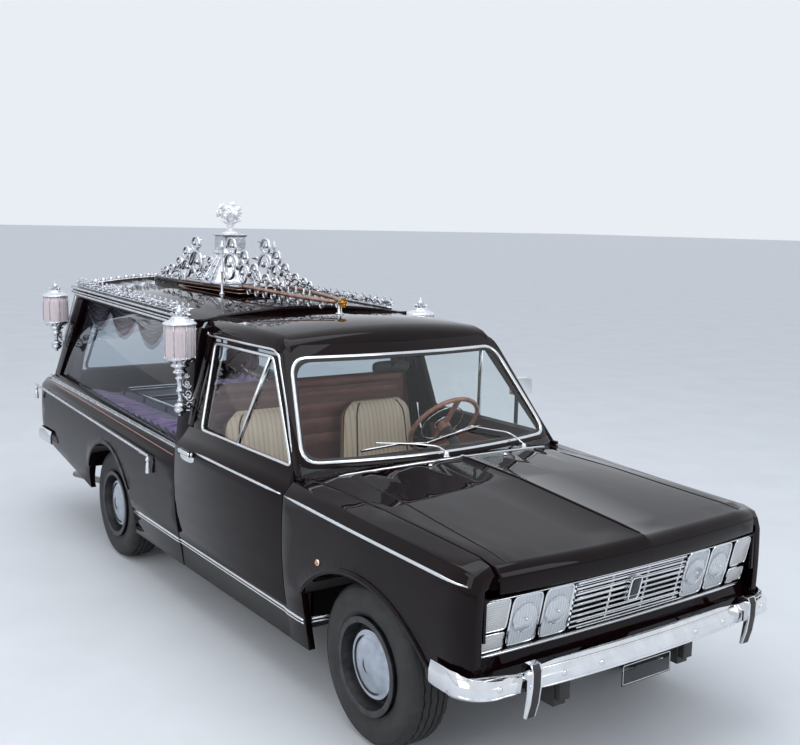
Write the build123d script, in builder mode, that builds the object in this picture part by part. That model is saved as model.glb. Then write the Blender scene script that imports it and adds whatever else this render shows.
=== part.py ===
from build123d import *
from math import cos, radians, sin, sqrt
import os

# A hearse on a 1960s saloon base, in millimetres. +X is forward, +Y is the car's left, +Z is up.
# The origin is on the ground, below the middle of the whole car.

# Whole car
wheelbase = 2656
front_overhang = 745
rear_overhang = 1384
overall_length = front_overhang + wheelbase + rear_overhang
front_axle_x = overall_length / 2 - front_overhang
rear_axle_x = front_axle_x - wheelbase
overall_half = 900
sides = (("left", 1), ("right", -1))

# Wheels and their carriers
tyre_radius = 314
tyre_width = 180
hub_height = tyre_radius
rim_seat_radius = 172
rim_flange_radius = 189
hubcap_radius = 131
wheel_y = 655
kingpin_y = 595
stub_radius = 16
turning_gap = 0.3
brake_radius = 112

# Lengthways places
bonnet_front_x = front_axle_x + 700
bonnet_corner_x = front_axle_x + 655
bonnet_rear_x = front_axle_x - 385
bonnet_rear_corner_x = front_axle_x - 500
nose_x = front_axle_x + 650
fender_front_x = front_axle_x + 632
door_front_x = front_axle_x - 550
door_rear_x = front_axle_x - 1652
cab_rear_x = front_axle_x - 1716
bay_rear_x = rear_axle_x - 1234
bay_roof_rear_x = rear_axle_x - 987
shut_gap = 6
seat_gap = 0.3

# Body section, half-widths and heights
sill_bottom_z = 230
sill_top_z = 378
door_bottom_z = sill_top_z + shut_gap
sill_inset = 48
bulge_z = 600
door_waist = 803
bay_rear_waist = 792
foot_inset = 24
crease_half = 753
belt_half = 722
belt_z = 948
wall = 30
door_wall = 52

# Ledge under the bay glass
ledge_half = 760
ledge_front_z = 772
ledge_rise = 115
ledge_length = door_rear_x - bay_rear_x
ledge_bevel = 36

# Cab glasshouse
cab_rail_half = 612
cab_rail_z = 1392
roof_shoulder_half = 576
roof_shoulder_z = 1474
roof_crown = 30
roof_wall = 30
screen_base_half = 695
screen_base_z = 961
screen_base_x = front_axle_x - 582
screen_base_bow = 112
screen_top_half = 588
screen_top_z = 1375
screen_top_x = front_axle_x - 885
screen_top_bow = 62
glass_wall = 6

# Bay glasshouse
bay_glass_half = 717
bay_glass_z = 856
bay_lean = 0.1342
bay_frame_wall = 38
cornice_half = 655
cornice_front_z = 1473
cornice_rear_z = 1524
cornice_height = 42
bay_roof_front_x = cab_rear_x - shut_gap


def across(x):
    """Plane across the car: local axes are +Y and +Z."""
    return Plane(origin=(x, 0, 0), x_dir=(0, 1, 0), z_dir=(1, 0, 0))


def along(y):
    """Plane along the car: local axes are +X and +Z, and it faces -Y."""
    return Plane(origin=(0, y, 0), x_dir=(1, 0, 0), z_dir=(0, -1, 0))


def lean_plane(side, half, z, lean):
    """Plane of a leaning side window: local axes are +X and up along the glass, and it faces outward
    on the right side and inward on the left."""
    return Plane(origin=(0, side * half, z), x_dir=(1, 0, 0), z_dir=(0, -1, -side * lean))


def up(z, from_z, lean):
    """Distance along a leaning plane for a height."""
    return (z - from_z) * sqrt(1 + lean ** 2)


def block(low, high):
    """Box between two corners."""
    middle = tuple((a + b) / 2 for a, b in zip(low, high))
    with Locations(middle):
        Box(*[b - a for a, b in zip(low, high)])


def cornice_z(x):
    """Height of the cornice's top edge, which rises towards the rear."""
    rise = (cornice_rear_z - cornice_front_z) / (bay_roof_front_x - bay_roof_rear_x)
    return cornice_front_z + rise * (bay_roof_front_x - x)


def bay_inner_half(z):
    """Half-width between the leaning frames of the bay's windows."""
    return bay_glass_half - bay_lean * (z - bay_glass_z) - bay_frame_wall * sqrt(1 + bay_lean ** 2)


def save(builder, name):
    builder.part.label = name
    export_step(builder.part, f"parts/{name}.step")


os.makedirs("parts", exist_ok=True)

# Wheels: a tyre and a pressed steel rim with its hubcap, four times
axles = (("front", front_axle_x), ("rear", rear_axle_x))
tyre_shoulder = 14
disc_y = 30
cap_y = 76
stub_end = 58
for end, axle_x in axles:
    for hand, side in sides:
        spin = Axis((axle_x, 0, hub_height), (0, 1, 0))
        wheel_plane = Plane(origin=(axle_x, side * wheel_y, hub_height), x_dir=(1, 0, 0), z_dir=(0, 0, 1))
        with BuildPart() as tyre:
            with BuildSketch(wheel_plane):
                half = tyre_width / 2
                with Locations(((rim_seat_radius + tyre_radius) / 2, 0)):
                    Rectangle(tyre_radius - rim_seat_radius, tyre_width)
                shoulder_points = vertices().group_by(Axis.X)[-1]
                fillet(shoulder_points, tyre_shoulder)
            revolve(axis=spin)
        save(tyre, f"tyre_{end}_{hand}")

        with BuildPart() as rim:
            with BuildSketch(wheel_plane):
                bore = stub_radius + turning_gap
                inner = rim_seat_radius - 6
                seat = rim_seat_radius - turning_gap
                edge = tyre_width / 2 + turning_gap
                cap_low = disc_y + 10
                cap_rise = cap_y - cap_low
                cap_sphere = (hubcap_radius ** 2 + cap_rise ** 2) / (2 * cap_rise)
                cap_mid = cap_y - cap_sphere + sqrt(cap_sphere ** 2 - (0.7 * hubcap_radius) ** 2)
                with BuildLine():
                    Polyline((0, side * stub_end), (bore, side * stub_end), (bore, -side * 18),
                             (40, -side * 18), (40, side * (disc_y - 8)), (inner, side * (disc_y - 8)),
                             (inner, -side * (edge + 6)),
                             (rim_flange_radius, -side * (edge + 6)), (rim_flange_radius, -side * edge),
                             (seat, -side * edge), (seat, side * edge), (rim_flange_radius, side * edge),
                             (rim_flange_radius, side * (edge + 6)), (inner, side * (edge + 6)),
                             (inner, side * disc_y), (hubcap_radius, side * cap_low))
                    ThreePointArc((hubcap_radius, side * cap_low), (0.7 * hubcap_radius, side * cap_mid),
                                  (0, side * cap_y))
                    Line((0, side * cap_y), (0, side * stub_end))
                make_face()
            revolve(axis=spin)
        save(rim, f"rim_{end}_{hand}")

# Steering knuckles, each with its kingpin post, brake drum and stub axle
post_radius = 24
post_low_z = hub_height - 114
post_high_z = hub_height + 126
for hand, side in sides:
    with BuildPart() as knuckle:
        with BuildSketch(Plane.XY.offset(post_low_z)):
            with Locations((front_axle_x, side * kingpin_y)):
                Circle(post_radius)
        extrude(amount=post_high_z - post_low_z)
        with BuildSketch(along(side * kingpin_y)):
            with Locations((front_axle_x, hub_height)):
                Circle(stub_radius)
        extrude(amount=-side * (wheel_y + 57 - kingpin_y))
        with BuildSketch(along(side * (kingpin_y + 12))):
            with Locations((front_axle_x, hub_height)):
                Circle(brake_radius)
        extrude(amount=-side * 24)
    save(knuckle, f"knuckle_{hand}")

# Front crossmember with its arms
arm_wall = 20
tower_y = 362
with BuildPart() as crossmember:
    block((front_axle_x - 45, -tower_y, post_low_z - 5), (front_axle_x + 45, tower_y, 300))
    for hand, side in sides:
        inner, outer = sorted((side * tower_y, side * (tower_y + 36)))
        block((front_axle_x - 35, inner, post_low_z - 5), (front_axle_x + 35, outer, post_high_z + arm_wall))
        inner, outer = sorted((side * tower_y, side * (kingpin_y + 18)))
        block((front_axle_x - 26, inner, post_low_z - arm_wall - turning_gap),
              (front_axle_x + 26, outer, post_low_z - turning_gap))
        block((front_axle_x - 24, inner, post_high_z + turning_gap),
              (front_axle_x + 24, outer, post_high_z + arm_wall))
save(crossmember, "front_crossmember")

# Rear axle with its leaf springs
spring_y = 470
spring_half_length = 600
spring_wall = 22
floor_rear_z = 500
with BuildPart() as rear_axle:
    with BuildSketch(along(0)):
        with Locations((rear_axle_x, hub_height)):
            Circle(36)
    extrude(amount=wheel_y - 70, both=True)
    with Locations((rear_axle_x, 0, hub_height)):
        Sphere(118)
    for hand, side in sides:
        with BuildSketch(along(side * (wheel_y - 70))):
            with Locations((rear_axle_x, hub_height)):
                Circle(stub_radius)
        extrude(amount=-side * 127)
        with BuildSketch(along(side * (wheel_y - 86))):
            with Locations((rear_axle_x, hub_height)):
                Circle(brake_radius)
        extrude(amount=-side * 24)
        with BuildSketch(along(side * spring_y)):
            with BuildLine():
                low = hub_height - 36
                eye_z = hub_height + 90
                ThreePointArc((rear_axle_x - spring_half_length, eye_z), (rear_axle_x, low - spring_wall),
                              (rear_axle_x + spring_half_length, eye_z))
                Line((rear_axle_x + spring_half_length, eye_z),
                     (rear_axle_x + spring_half_length, eye_z + spring_wall))
                ThreePointArc((rear_axle_x + spring_half_length, eye_z + spring_wall), (rear_axle_x, low + 1),
                              (rear_axle_x - spring_half_length, eye_z + spring_wall))
                Line((rear_axle_x - spring_half_length, eye_z + spring_wall),
                     (rear_axle_x - spring_half_length, eye_z))
            make_face()
        extrude(amount=30, both=True)
        for end in (-1, 1):
            shackle_x = rear_axle_x + end * (spring_half_length - 30)
            block((shackle_x - 20, side * spring_y - 20, eye_z),
                  (shackle_x + 20, side * spring_y + 20, floor_rear_z))
save(rear_axle, "rear_axle")

# Underbody: floor, sills, front rails and the raised rear floor
floor_z = 262
floor_wall = 24
rail_y = 330
rail_z = 300
rail_front_x = fender_front_x - 20
kick_x = rear_axle_x + 640
arch_gap = 12
front_arch_half = 405
front_arch_top = 665
rear_arch_radius = 357
sill_inner_half = 690
sill_outer_half = door_waist - 31
fender_rear_x = door_front_x + shut_gap / 2
sill_front_end = fender_rear_x - seat_gap
strut_half = 15
strut_reach = 350
wheelhouse_low_z = 475
wheelhouse_y = 372
wheelhouse_width = 405
rear_floor_half = 520
with BuildPart() as underbody:
    block((kick_x, -sill_inner_half, floor_z), (door_front_x + 15, sill_inner_half, floor_z + floor_wall))
    block((kick_x - 20, -rear_floor_half, floor_z), (kick_x, rear_floor_half, floor_rear_z + floor_wall))
    block((bay_rear_x + 70, -rear_floor_half, floor_rear_z),
          (kick_x, rear_floor_half, floor_rear_z + floor_wall))
    for hand, side in sides:
        inner, outer = sorted((side * sill_inner_half, side * (sill_outer_half - 34)))
        block((door_rear_x, inner, sill_bottom_z), (sill_front_end, outer, sill_top_z))
        bay_sill_half = bay_rear_waist - wall - sill_inset - seat_gap
        inner, outer = sorted((side * sill_inner_half, side * bay_sill_half))
        block((kick_x, inner, sill_bottom_z), (door_rear_x, outer, floor_z + floor_wall))
        with BuildSketch(across(door_rear_x)):
            half = sill_outer_half
            Polygon(*[(side * (half - 34), sill_bottom_z), (side * (half - 20), sill_bottom_z),
                      (side * half, sill_top_z), (side * (half - 34), sill_top_z)], align=None)
        extrude(amount=sill_front_end - door_rear_x)
        inner, outer = sorted((side * (rail_y - 30), side * (rail_y + 30)))
        block((door_front_x + 15, inner, rail_z), (rail_front_x, outer, rail_z + 80))
        block((door_front_x + 15, inner, floor_z), (door_front_x + 75, outer, rail_z + 80))
        inner, outer = sorted((side * rail_y, side * (wheelhouse_y + arch_gap)))
        for end in (-1, 1):
            x = front_axle_x + end * strut_reach
            block((x - strut_half, inner, rail_z + 40), (x + strut_half, outer, wheelhouse_low_z - seat_gap))
save(underbody, "underbody")

# Body side stations for the fender. Columns: place, waist half-width, crease half-width and
# height, half-width and height at the bonnet's edge
fender_front_half = 746
fender_top_half = 668
crease_rear_z = 907
cowl_edge_z = 914
fender_stations = (
    (fender_front_x, fender_front_half, 722, 828, fender_top_half, 846),
    (fender_front_x - 27, 764, 736, 850, fender_top_half, 868),
    (fender_front_x - 87, 778, 745, 862, fender_top_half, 884),
    (front_axle_x, 797, 752, 880, fender_top_half, 906),
    (fender_rear_x, door_waist, crease_half, crease_rear_z, fender_top_half, cowl_edge_z),
)
apron_z = 430
lip_width = 24
lip_proud = 6
lip_depth = 20
lip_low_z = 480
strip_drop = 45
strip_inner_drop = 12
fender_inner_z = fender_stations[0][3] - strip_drop - strip_inner_drop
for hand, side in sides:
    with BuildPart() as arch_lip:
        for x, waist, crease, crease_z, top, top_z in fender_stations:
            with BuildSketch(across(x)):
                with BuildLine():
                    strip_z = crease_z - strip_drop
                    near = waist - lip_depth
                    far = waist + lip_proud
                    ThreePointArc((side * (far - foot_inset), sill_top_z), (side * far, bulge_z),
                                  (side * (far - 5), strip_z))
                    Line((side * (far - 5), strip_z), (side * (near - 5), strip_z))
                    ThreePointArc((side * (near - 5), strip_z), (side * near, bulge_z),
                                  (side * (near - foot_inset), sill_top_z))
                    Line((side * (near - foot_inset), sill_top_z), (side * (far - foot_inset), sill_top_z))
                make_face()
        loft(ruled=True)
        with BuildSketch(along(side * wheelhouse_y)):
            with BuildLine():
                half = front_arch_half + lip_width
                Line((front_axle_x - half, 480), (front_axle_x - front_arch_half, 480))
                ThreePointArc((front_axle_x - front_arch_half, 480), (front_axle_x, front_arch_top),
                              (front_axle_x + front_arch_half, 480))
                Line((front_axle_x + front_arch_half, 480), (front_axle_x + half, 480))
                ThreePointArc((front_axle_x + half, 480), (front_axle_x, front_arch_top + lip_width),
                              (front_axle_x - half, 480))
            make_face()
        extrude(amount=-side * overall_half, mode=Mode.INTERSECT)

    with BuildPart() as fender:
        for x, waist, crease, crease_z, top, top_z in fender_stations:
            with BuildSketch(across(x)):
                with BuildLine():
                    strip_z = crease_z - strip_drop
                    foot = waist - foot_inset
                    sill_half = waist - sill_inset
                    Polyline((side * (sill_half - wall), sill_bottom_z), (side * sill_half, sill_bottom_z),
                             (side * foot, sill_top_z))
                    ThreePointArc((side * foot, sill_top_z), (side * waist, bulge_z),
                                  (side * (waist - 5), strip_z))
                    Polyline((side * (waist - 5), strip_z), (side * crease, crease_z), (side * top, top_z),
                             (side * top, top_z - wall), (side * (crease - 12), crease_z - wall),
                             (side * (waist - 5 - wall), strip_z - strip_inner_drop))
                    ThreePointArc((side * (waist - 5 - wall), strip_z - strip_inner_drop),
                                  (side * (waist - wall), bulge_z),
                                  (side * (foot - wall), sill_top_z))
                    Line((side * (foot - wall), sill_top_z), (side * (sill_half - wall), sill_bottom_z))
                make_face()
        loft(ruled=True)
        with BuildSketch(along(side * wheelhouse_y)):
            with BuildLine():
                half = front_arch_half + arch_gap
                Line((front_axle_x - half, wheelhouse_low_z), (front_axle_x - half, 500))
                ThreePointArc((front_axle_x - half, 500), (front_axle_x, front_arch_top + arch_gap + 14),
                              (front_axle_x + half, 500))
                Polyline((front_axle_x + half, 500), (front_axle_x + half, wheelhouse_low_z),
                         (front_axle_x - half, wheelhouse_low_z))
            make_face()
        extrude(amount=-side * wheelhouse_width)
        with BuildSketch(along(side * (wheelhouse_y + arch_gap))):
            with BuildLine():
                Line((front_axle_x - front_arch_half, 200), (front_axle_x - front_arch_half, 480))
                ThreePointArc((front_axle_x - front_arch_half, 480), (front_axle_x, front_arch_top),
                              (front_axle_x + front_arch_half, 480))
                Polyline((front_axle_x + front_arch_half, 480), (front_axle_x + front_arch_half, 200),
                         (front_axle_x - front_arch_half, 200))
            make_face()
        extrude(amount=-side * overall_half, mode=Mode.SUBTRACT)
        with BuildSketch(along(-overall_half)):
            Polygon(*[(front_axle_x + 100, 100), (fender_front_x + 50, 100), (fender_front_x + 50, apron_z),
                     (front_axle_x + 100, apron_z)], align=None)
        extrude(amount=-2 * overall_half, mode=Mode.SUBTRACT)
        add(arch_lip.part)
    save(fender, f"fender_{hand}")


# Cowl: the crowned panel between bonnet and screen, with the firewall below it
cowl_crown_z = 952
bonnet_half = 663
cowl_half = bonnet_half + 1
cowl_rear_x = door_front_x - 70
firewall_z = floor_z + floor_wall
with BuildPart() as cowl:
    with BuildSketch(across(cowl_rear_x)):
        with BuildLine():
            ThreePointArc((-cowl_half, cowl_edge_z), (0, cowl_crown_z), (cowl_half, cowl_edge_z))
            Polyline((cowl_half, cowl_edge_z), (cowl_half, cowl_edge_z - 40), (-cowl_half, cowl_edge_z - 40),
                     (-cowl_half, cowl_edge_z))
        make_face()
    extrude(amount=bonnet_rear_x - cowl_rear_x)
    with BuildSketch(Plane.XY.offset(cowl_edge_z - 60)):
        with BuildLine():
            ThreePointArc((bonnet_rear_corner_x - shut_gap, -cowl_half), (bonnet_rear_x - shut_gap, 0),
                          (bonnet_rear_corner_x - shut_gap, cowl_half))
            Polyline((bonnet_rear_corner_x - shut_gap, cowl_half), (bonnet_rear_x + 50, cowl_half),
                     (bonnet_rear_x + 50, -cowl_half), (bonnet_rear_corner_x - shut_gap, -cowl_half))
        make_face()
    extrude(amount=200, mode=Mode.SUBTRACT)
    block((door_front_x - 8, -cowl_half + 6, firewall_z),
          (door_front_x + 15, cowl_half - 6, cowl_edge_z - 20))
save(cowl, "cowl")

# Windscreen: a bowed pane that stands on the cowl
screen_slope = (screen_base_x - screen_top_x) / (screen_top_z - screen_base_z)
screen_taper = (screen_base_half - screen_top_half) / (screen_top_z - screen_base_z)
screen_foot_z = cowl_edge_z - 10
screen_levels = (
    (screen_foot_z, screen_base_x + screen_slope * (screen_base_z - screen_foot_z),
     screen_base_half + screen_taper * (screen_base_z - screen_foot_z), screen_base_bow),
    (screen_top_z, screen_top_x, screen_top_half, screen_top_bow),
)
with BuildPart() as windscreen:
    for z, x, half, bow in screen_levels:
        with BuildSketch(Plane.XY.offset(z)):
            with BuildLine():
                ThreePointArc((x, -half), (x + bow, 0), (x, half))
                Line((x, half), (x - glass_wall, half))
                ThreePointArc((x - glass_wall, half), (x + bow - glass_wall, 0), (x - glass_wall, -half))
                Line((x - glass_wall, -half), (x, -half))
            make_face()
    loft(ruled=True)
    with BuildSketch(across(door_front_x - 300)):
        with BuildLine():
            ThreePointArc((-cowl_half, cowl_edge_z), (0, cowl_crown_z), (cowl_half, cowl_edge_z))
            Polyline((cowl_half, cowl_edge_z), (cowl_half + 90, cowl_edge_z), (cowl_half + 90, 700),
                     (-cowl_half - 90, 700), (-cowl_half - 90, cowl_edge_z), (-cowl_half, cowl_edge_z))
        make_face()
    extrude(amount=600, mode=Mode.SUBTRACT)
save(windscreen, "windscreen")

# Cab roof with the screen pillars. Columns: place, half-width and height at the rail,
# half-width and height at the shoulder, crown
roof_stations = (
    (screen_top_x - 10, 590, screen_top_z + 6, 582, screen_top_z + 22, 24),
    (screen_top_x - 28, 594, cab_rail_z - 8, 580, 1426, 26),
    (screen_top_x - 58, 599, cab_rail_z - 6, 578, 1448, 28),
    (screen_top_x - 110, 604, cab_rail_z - 4, 576, 1464, roof_crown),
    (front_axle_x - 1250, cab_rail_half, cab_rail_z, roof_shoulder_half, roof_shoulder_z, roof_crown),
    (cab_rear_x, cab_rail_half, cab_rail_z, roof_shoulder_half, roof_shoulder_z, roof_crown),
)
shoulder_round = 26
side_lean = (belt_half - cab_rail_half) / (cab_rail_z - belt_z)
pillar_foot_half = 710
pillar_foot_z = (crease_rear_z + seat_gap + (cowl_edge_z - crease_rear_z) * (crease_half - pillar_foot_half)
                 / (crease_half - fender_top_half))
rear_pillar_foot_z = belt_z + shut_gap
door_pillar_x = front_axle_x - 1600 - 2 * shut_gap
bay_pillar_x = front_axle_x - 1673
pillar_wall = 24
pillar_levels = (
    (pillar_foot_z, -545, -572),
    (cab_rail_z, -897, -950),
)
with BuildPart() as cab_roof:
    for x, rail, rail_height, shoulder, shoulder_z, crown in roof_stations:
        with BuildSketch(across(x)):
            with BuildLine():
                thin = min(roof_wall, (shoulder_z - rail_height) * 0.6 + 6)
                turn = shoulder - shoulder_round
                bulge = rail - 0.3 * (rail - turn)
                bulge_height = rail_height + 0.72 * (shoulder_z - rail_height)
                Line((-rail + 24, rail_height), (-rail, rail_height))
                ThreePointArc((-rail, rail_height), (-bulge, bulge_height), (-turn, shoulder_z))
                ThreePointArc((-turn, shoulder_z), (0, shoulder_z + crown), (turn, shoulder_z))
                ThreePointArc((turn, shoulder_z), (bulge, bulge_height), (rail, rail_height))
                Polyline((rail, rail_height), (rail - 24, rail_height), (shoulder - 24, shoulder_z - thin))
                ThreePointArc((shoulder - 24, shoulder_z - thin), (0, shoulder_z + crown - thin),
                              (-shoulder + 24, shoulder_z - thin))
                Line((-shoulder + 24, shoulder_z - thin), (-rail + 24, rail_height))
            make_face()
    loft(ruled=True)
    for hand, side in sides:
        for z, front, back in pillar_levels:
            outer = belt_half - side_lean * (z - belt_z)
            with BuildSketch(Plane.XY.offset(z)):
                Polygon(*[(front_axle_x + front, side * (outer - 2)), (front_axle_x + back, side * outer),
                          (front_axle_x + back, side * (outer - 24)),
                          (front_axle_x + front - 8, side * (outer - 22))], align=None)
        loft(ruled=True)
        inner, outer = sorted((side * pillar_foot_half, side * (belt_half + 6)))
        block((front_axle_x - 574, inner, pillar_foot_z), (front_axle_x - 526, outer, pillar_foot_z + 16))
        with BuildSketch(lean_plane(side, belt_half, belt_z, side_lean)):
            Polygon(*[(door_pillar_x, up(rear_pillar_foot_z, belt_z, side_lean)),
                      (bay_pillar_x, up(rear_pillar_foot_z, belt_z, side_lean)),
                      (cab_rear_x, up(cab_rail_z + 8, belt_z, side_lean)),
                      (door_pillar_x, up(cab_rail_z + 8, belt_z, side_lean))], align=None)
        extrude(amount=side * pillar_wall)
save(cab_roof, "cab_roof")


# Bonnet: a crowned panel that rolls over at its front, with a thin ridge down its middle and a crease
# towards each side. Columns: half-width, height at the rear edge, over the axle, ahead of the axle
# and at the start of the roll
bonnet_wall = 20
nose_top_z = 766
lip_z = nose_top_z + 20
lip_wall = 14
lug_y = 380
roll_length = 46
roll_drop = 44
ridge_half = 16
crease_y = 560
fore_x = front_axle_x + 545
bonnet_stations = (
    (0, 969, 950, 899, 887),
    (ridge_half, 963, 944, 893, 882),
    (220, 958, 941, 891, 881),
    (440, 944, 930, 889, 880),
    (crease_y, 933, 921, 888, 879),
    (bonnet_half, cowl_edge_z, 907, 886, 874),
)
arc_share = sin(radians(45))
with BuildPart() as bonnet:
    mirrored = [(-y, *heights) for y, *heights in reversed(bonnet_stations[1:])]
    for y, rear_z, axle_z, fore_z, roll_z in mirrored + list(bonnet_stations):
        outward = (y / bonnet_half) ** 2
        front = bonnet_front_x - outward * (bonnet_front_x - bonnet_corner_x)
        rear = bonnet_rear_x - outward * (bonnet_rear_x - bonnet_rear_corner_x)
        top_x = front - roll_length
        with BuildSketch(along(y)):
            with BuildLine():
                Polyline((top_x, roll_z), (fore_x, fore_z), (front_axle_x, axle_z), (rear, rear_z),
                         (rear, rear_z - bonnet_wall), (front_axle_x, axle_z - bonnet_wall),
                         (fore_x, fore_z - bonnet_wall), (top_x, roll_z - bonnet_wall))
                inner = roll_length - lip_wall
                drop = roll_drop - bonnet_wall
                ThreePointArc((top_x, roll_z - bonnet_wall),
                              (top_x + inner * arc_share, roll_z - roll_drop + drop * arc_share),
                              (top_x + inner, roll_z - roll_drop))
                Polyline((top_x + inner, roll_z - roll_drop), (front - lip_wall, lip_z), (front, lip_z),
                         (front, roll_z - roll_drop))
                ThreePointArc((front, roll_z - roll_drop),
                              (top_x + roll_length * arc_share, roll_z - roll_drop * (1 - arc_share)),
                              (top_x, roll_z))
            make_face()
    loft(ruled=True)
    for y in (-lug_y, lug_y):
        block((nose_x - 40, y - 20, nose_top_z + seat_gap), (nose_x - 25, y + 20, lip_z + 82))
save(bonnet, "bonnet")

# Doors: a curved lower panel and a leaning window frame, with a mirror on the driver's side
hinge_heights = (500, 730)
handle_x = front_axle_x - 1500
frame_points = ((-606, belt_z), (-948, 1378), (-1600, 1378), (-1600, belt_z))
window_points = ((-630, 958), (-972, 1362), (-1556, 1362), (-1500, 958))
divider_points = ((-1118, 950), (-992, 1368), (-1008, 1368), (-1134, 950))
frame_wall = 26
glass_inset = 10

door_front_edge = door_front_x - shut_gap / 2
door_rear_edge = door_rear_x + shut_gap / 2 + 2
for hand, side in sides:
    with BuildPart() as door:
        for x in (door_front_edge, door_rear_edge):
            with BuildSketch(across(x)):
                with BuildLine():
                    foot = door_waist - foot_inset
                    Line((side * foot, door_bottom_z), (side * (foot - door_wall), door_bottom_z))
                    ThreePointArc((side * foot, door_bottom_z), (side * door_waist, bulge_z),
                                  (side * (door_waist - 5), 862))
                    inner = crease_half - door_wall
                    Polyline((side * (door_waist - 5), 862), (side * crease_half, crease_rear_z),
                             (side * belt_half, belt_z), (side * (belt_half - frame_wall), belt_z),
                             (side * inner, 880))
                    ThreePointArc((side * inner, 880), (side * (door_waist - door_wall), bulge_z),
                                  (side * (foot - door_wall), door_bottom_z))
                make_face()
        loft(ruled=True)
        with BuildSketch(lean_plane(side, belt_half, belt_z, side_lean)):
            Polygon(*[(front_axle_x + x, up(z, belt_z, side_lean)) for x, z in frame_points], align=None)
            Polygon(*[(front_axle_x + x, up(z, belt_z, side_lean)) for x, z in window_points], align=None,
                    mode=Mode.SUBTRACT)
        extrude(amount=side * frame_wall)
        with BuildSketch(lean_plane(side, belt_half, belt_z, side_lean)):
            Polygon(*[(front_axle_x + x, up(z, belt_z, side_lean)) for x, z in divider_points], align=None)
        extrude(amount=side * (glass_inset - seat_gap))
        with BuildSketch(along(overall_half)):
            Polygon(*[(front_axle_x - 549, 876), (front_axle_x - 606, belt_z), (front_axle_x - 606, 1000),
                      (front_axle_x - 500, 1000), (front_axle_x - 500, 876)], align=None)
        extrude(amount=2 * overall_half, mode=Mode.SUBTRACT)
        inner, outer = sorted((side * (door_waist - wall + 4), side * (door_waist - wall + 14)))
        for z in hinge_heights:
            block((door_front_edge - 1, inner, z), (fender_rear_x - seat_gap, outer, z + 60))
        inner, outer = sorted((side * (door_waist - 5), side * (door_waist + 19)))
        block((handle_x - 75, inner, 842), (handle_x + 75, outer, 866))
        if side > 0:
            block((front_axle_x - 862, crease_half - 21, 915), (front_axle_x - 848, crease_half - 5, 1115))
            block((front_axle_x - 885, crease_half - 38, 1110), (front_axle_x - 845, crease_half + 82, 1195))
    save(door, f"door_{hand}")

    with BuildPart() as door_glass:
        with BuildSketch(lean_plane(side, belt_half, belt_z, side_lean).offset(side * glass_inset)):
            Polygon(*[(front_axle_x + x, up(z, belt_z, side_lean)) for x, z in window_points], align=None)
        extrude(amount=side * glass_wall)
    save(door_glass, f"door_glass_{hand}")

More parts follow.
